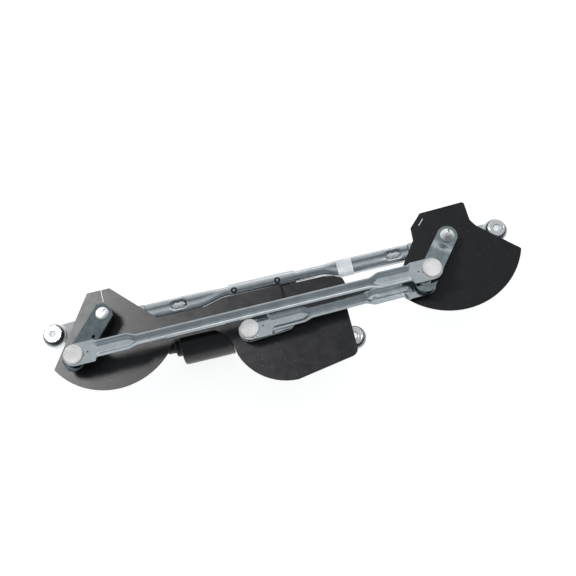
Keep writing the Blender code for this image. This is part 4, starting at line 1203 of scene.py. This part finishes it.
def make_floor():
    work = bmesh.new()
    bmesh.ops.create_grid(work, x_segments=1, y_segments=1, size=FLOOR_SIZE)
    mesh = bpy.data.meshes.new("studio_floor")
    work.to_mesh(mesh)
    work.free()
    glow = {"Emission Color": (1.0, 1.0, 1.0, 1.0), "Emission Strength": 0.85}
    look = Look("studio_floor", (0.5, 0.5, 0.5), 0.75, 0.0, glow)
    mesh.materials.append(look.material)
    floor = carrier(mesh, "studio_floor")
    floor.location = (0, 0, -FLOOR_DROP)


def softbox(name, place, target, size, power, colour=(1.0, 1.0, 1.0)):
    data = bpy.data.lights.new(name, "AREA")
    data.shape = "RECTANGLE"
    data.size, data.size_y = size
    data.energy = power
    data.color = colour
    light = carrier(data, name)
    light.location = place
    light.rotation_euler = (Vector(target) - Vector(place)).to_track_quat("-Z", "Y").to_euler()
    return light


def light_only(light, *looks):
    """Lets a light reach only the pieces that wear one of these looks."""
    materials = [look.material for look in looks]
    receivers = bpy.data.collections.new(light.name + "_receivers")
    for thing in bpy.data.objects:
        if thing.type == "MESH" and thing.active_material in materials:
            receivers.objects.link(thing)
    light.light_linking.receiver_collection = receivers


# The studio's tone from straight in front (0) to straight behind (1); the ramp's own two stops come first
TOWARDS_BACKDROP = (-0.12, 0.9, -0.42)
BACKDROP = (
    (0.0, (0.23, 0.25, 0.27)),
    (1.0, (0.97, 0.98, 0.99)),
    (0.10, (0.20, 0.225, 0.245)),
    (0.22, (0.24, 0.27, 0.29)),
    (0.32, (0.37, 0.40, 0.42)),
    (0.42, (0.51, 0.54, 0.56)),
    (0.60, (0.70, 0.72, 0.74)),
    (0.80, (0.83, 0.85, 0.86)),
)


def make_world():
    """A studio that is bright behind the object and dark above and before it, as the metal mirrors it."""
    world = bpy.data.worlds.new("studio")
    world.use_nodes = True
    bpy.context.scene.world = world
    nodes, links = world.node_tree.nodes, world.node_tree.links
    place = nodes.new("ShaderNodeTexCoord")
    facing = nodes.new("ShaderNodeVectorMath")
    facing.operation = "DOT_PRODUCT"
    facing.inputs[1].default_value = TOWARDS_BACKDROP
    reach = nodes.new("ShaderNodeMapRange")
    reach.inputs["From Min"].default_value = -1.0
    ramp = nodes.new("ShaderNodeValToRGB")
    set_stops(ramp, BACKDROP)
    links.new(place.outputs["Generated"], facing.inputs[0])
    links.new(facing.outputs["Value"], reach.inputs["Value"])
    links.new(reach.outputs["Result"], ramp.inputs["Fac"])
    links.new(ramp.outputs["Color"], nodes["Background"].inputs["Color"])
    nodes["Background"].inputs["Strength"].default_value = 1.0


def make_studio():
    make_floor()
    make_world()
    key = softbox("key", (-1.19, 0.97, 1.82), (-0.36, -0.05, 0.08), (0.7, 0.6), 4.8)
    key.data.spread = radians(37)
    light_only(key, SHIELD, BLACK_PLASTIC, CAN_PAINT, RUBBER, DISC_ZINC, LEFT_RIVET)
    fill = softbox("fill", (0.0, -0.2, 2.0), (0.0, 0.0, 0.1), (1.5, 0.6), 15)
    light_only(fill, WHITE_PLASTIC, LABEL)
    softbox("back", (0.5, 2.0, 0.9), (0.1, 0, 0.1), (2.0, 0.5), 3, (0.94, 0.97, 1.0))
    bpy.context.scene.view_settings.view_transform = "Standard"


# Everything
make_camera()
make_tube()
make_bracket()
make_pivot_housing("left", LEFT_PIVOT, 1)
make_pivot_housing("right", RIGHT_PIVOT, -1)
for lug in ("left", "right", "lower"):
    make_mount(lug)
make_spindle("left", LEFT_AXIS, CRANK_TOP, LEFT_PLATE, LEFT_RIVET)
make_spindle("right", RIGHT_AXIS, RIGHT_LOW + RIGHT_PLATE, RIGHT_PLATE, RIGHT_RIVET)
make_spindle_fittings("left", LEFT_PIVOT)
make_spindle_fittings("right", RIGHT_PIVOT)
make_left_crank()
make_right_crank()
make_motor_crank()
make_ball_joints()
make_rods()
make_motor_shells()
make_gear_housing()
make_gear_cover()
make_output()
refine_packed_nodes()
make_studio()
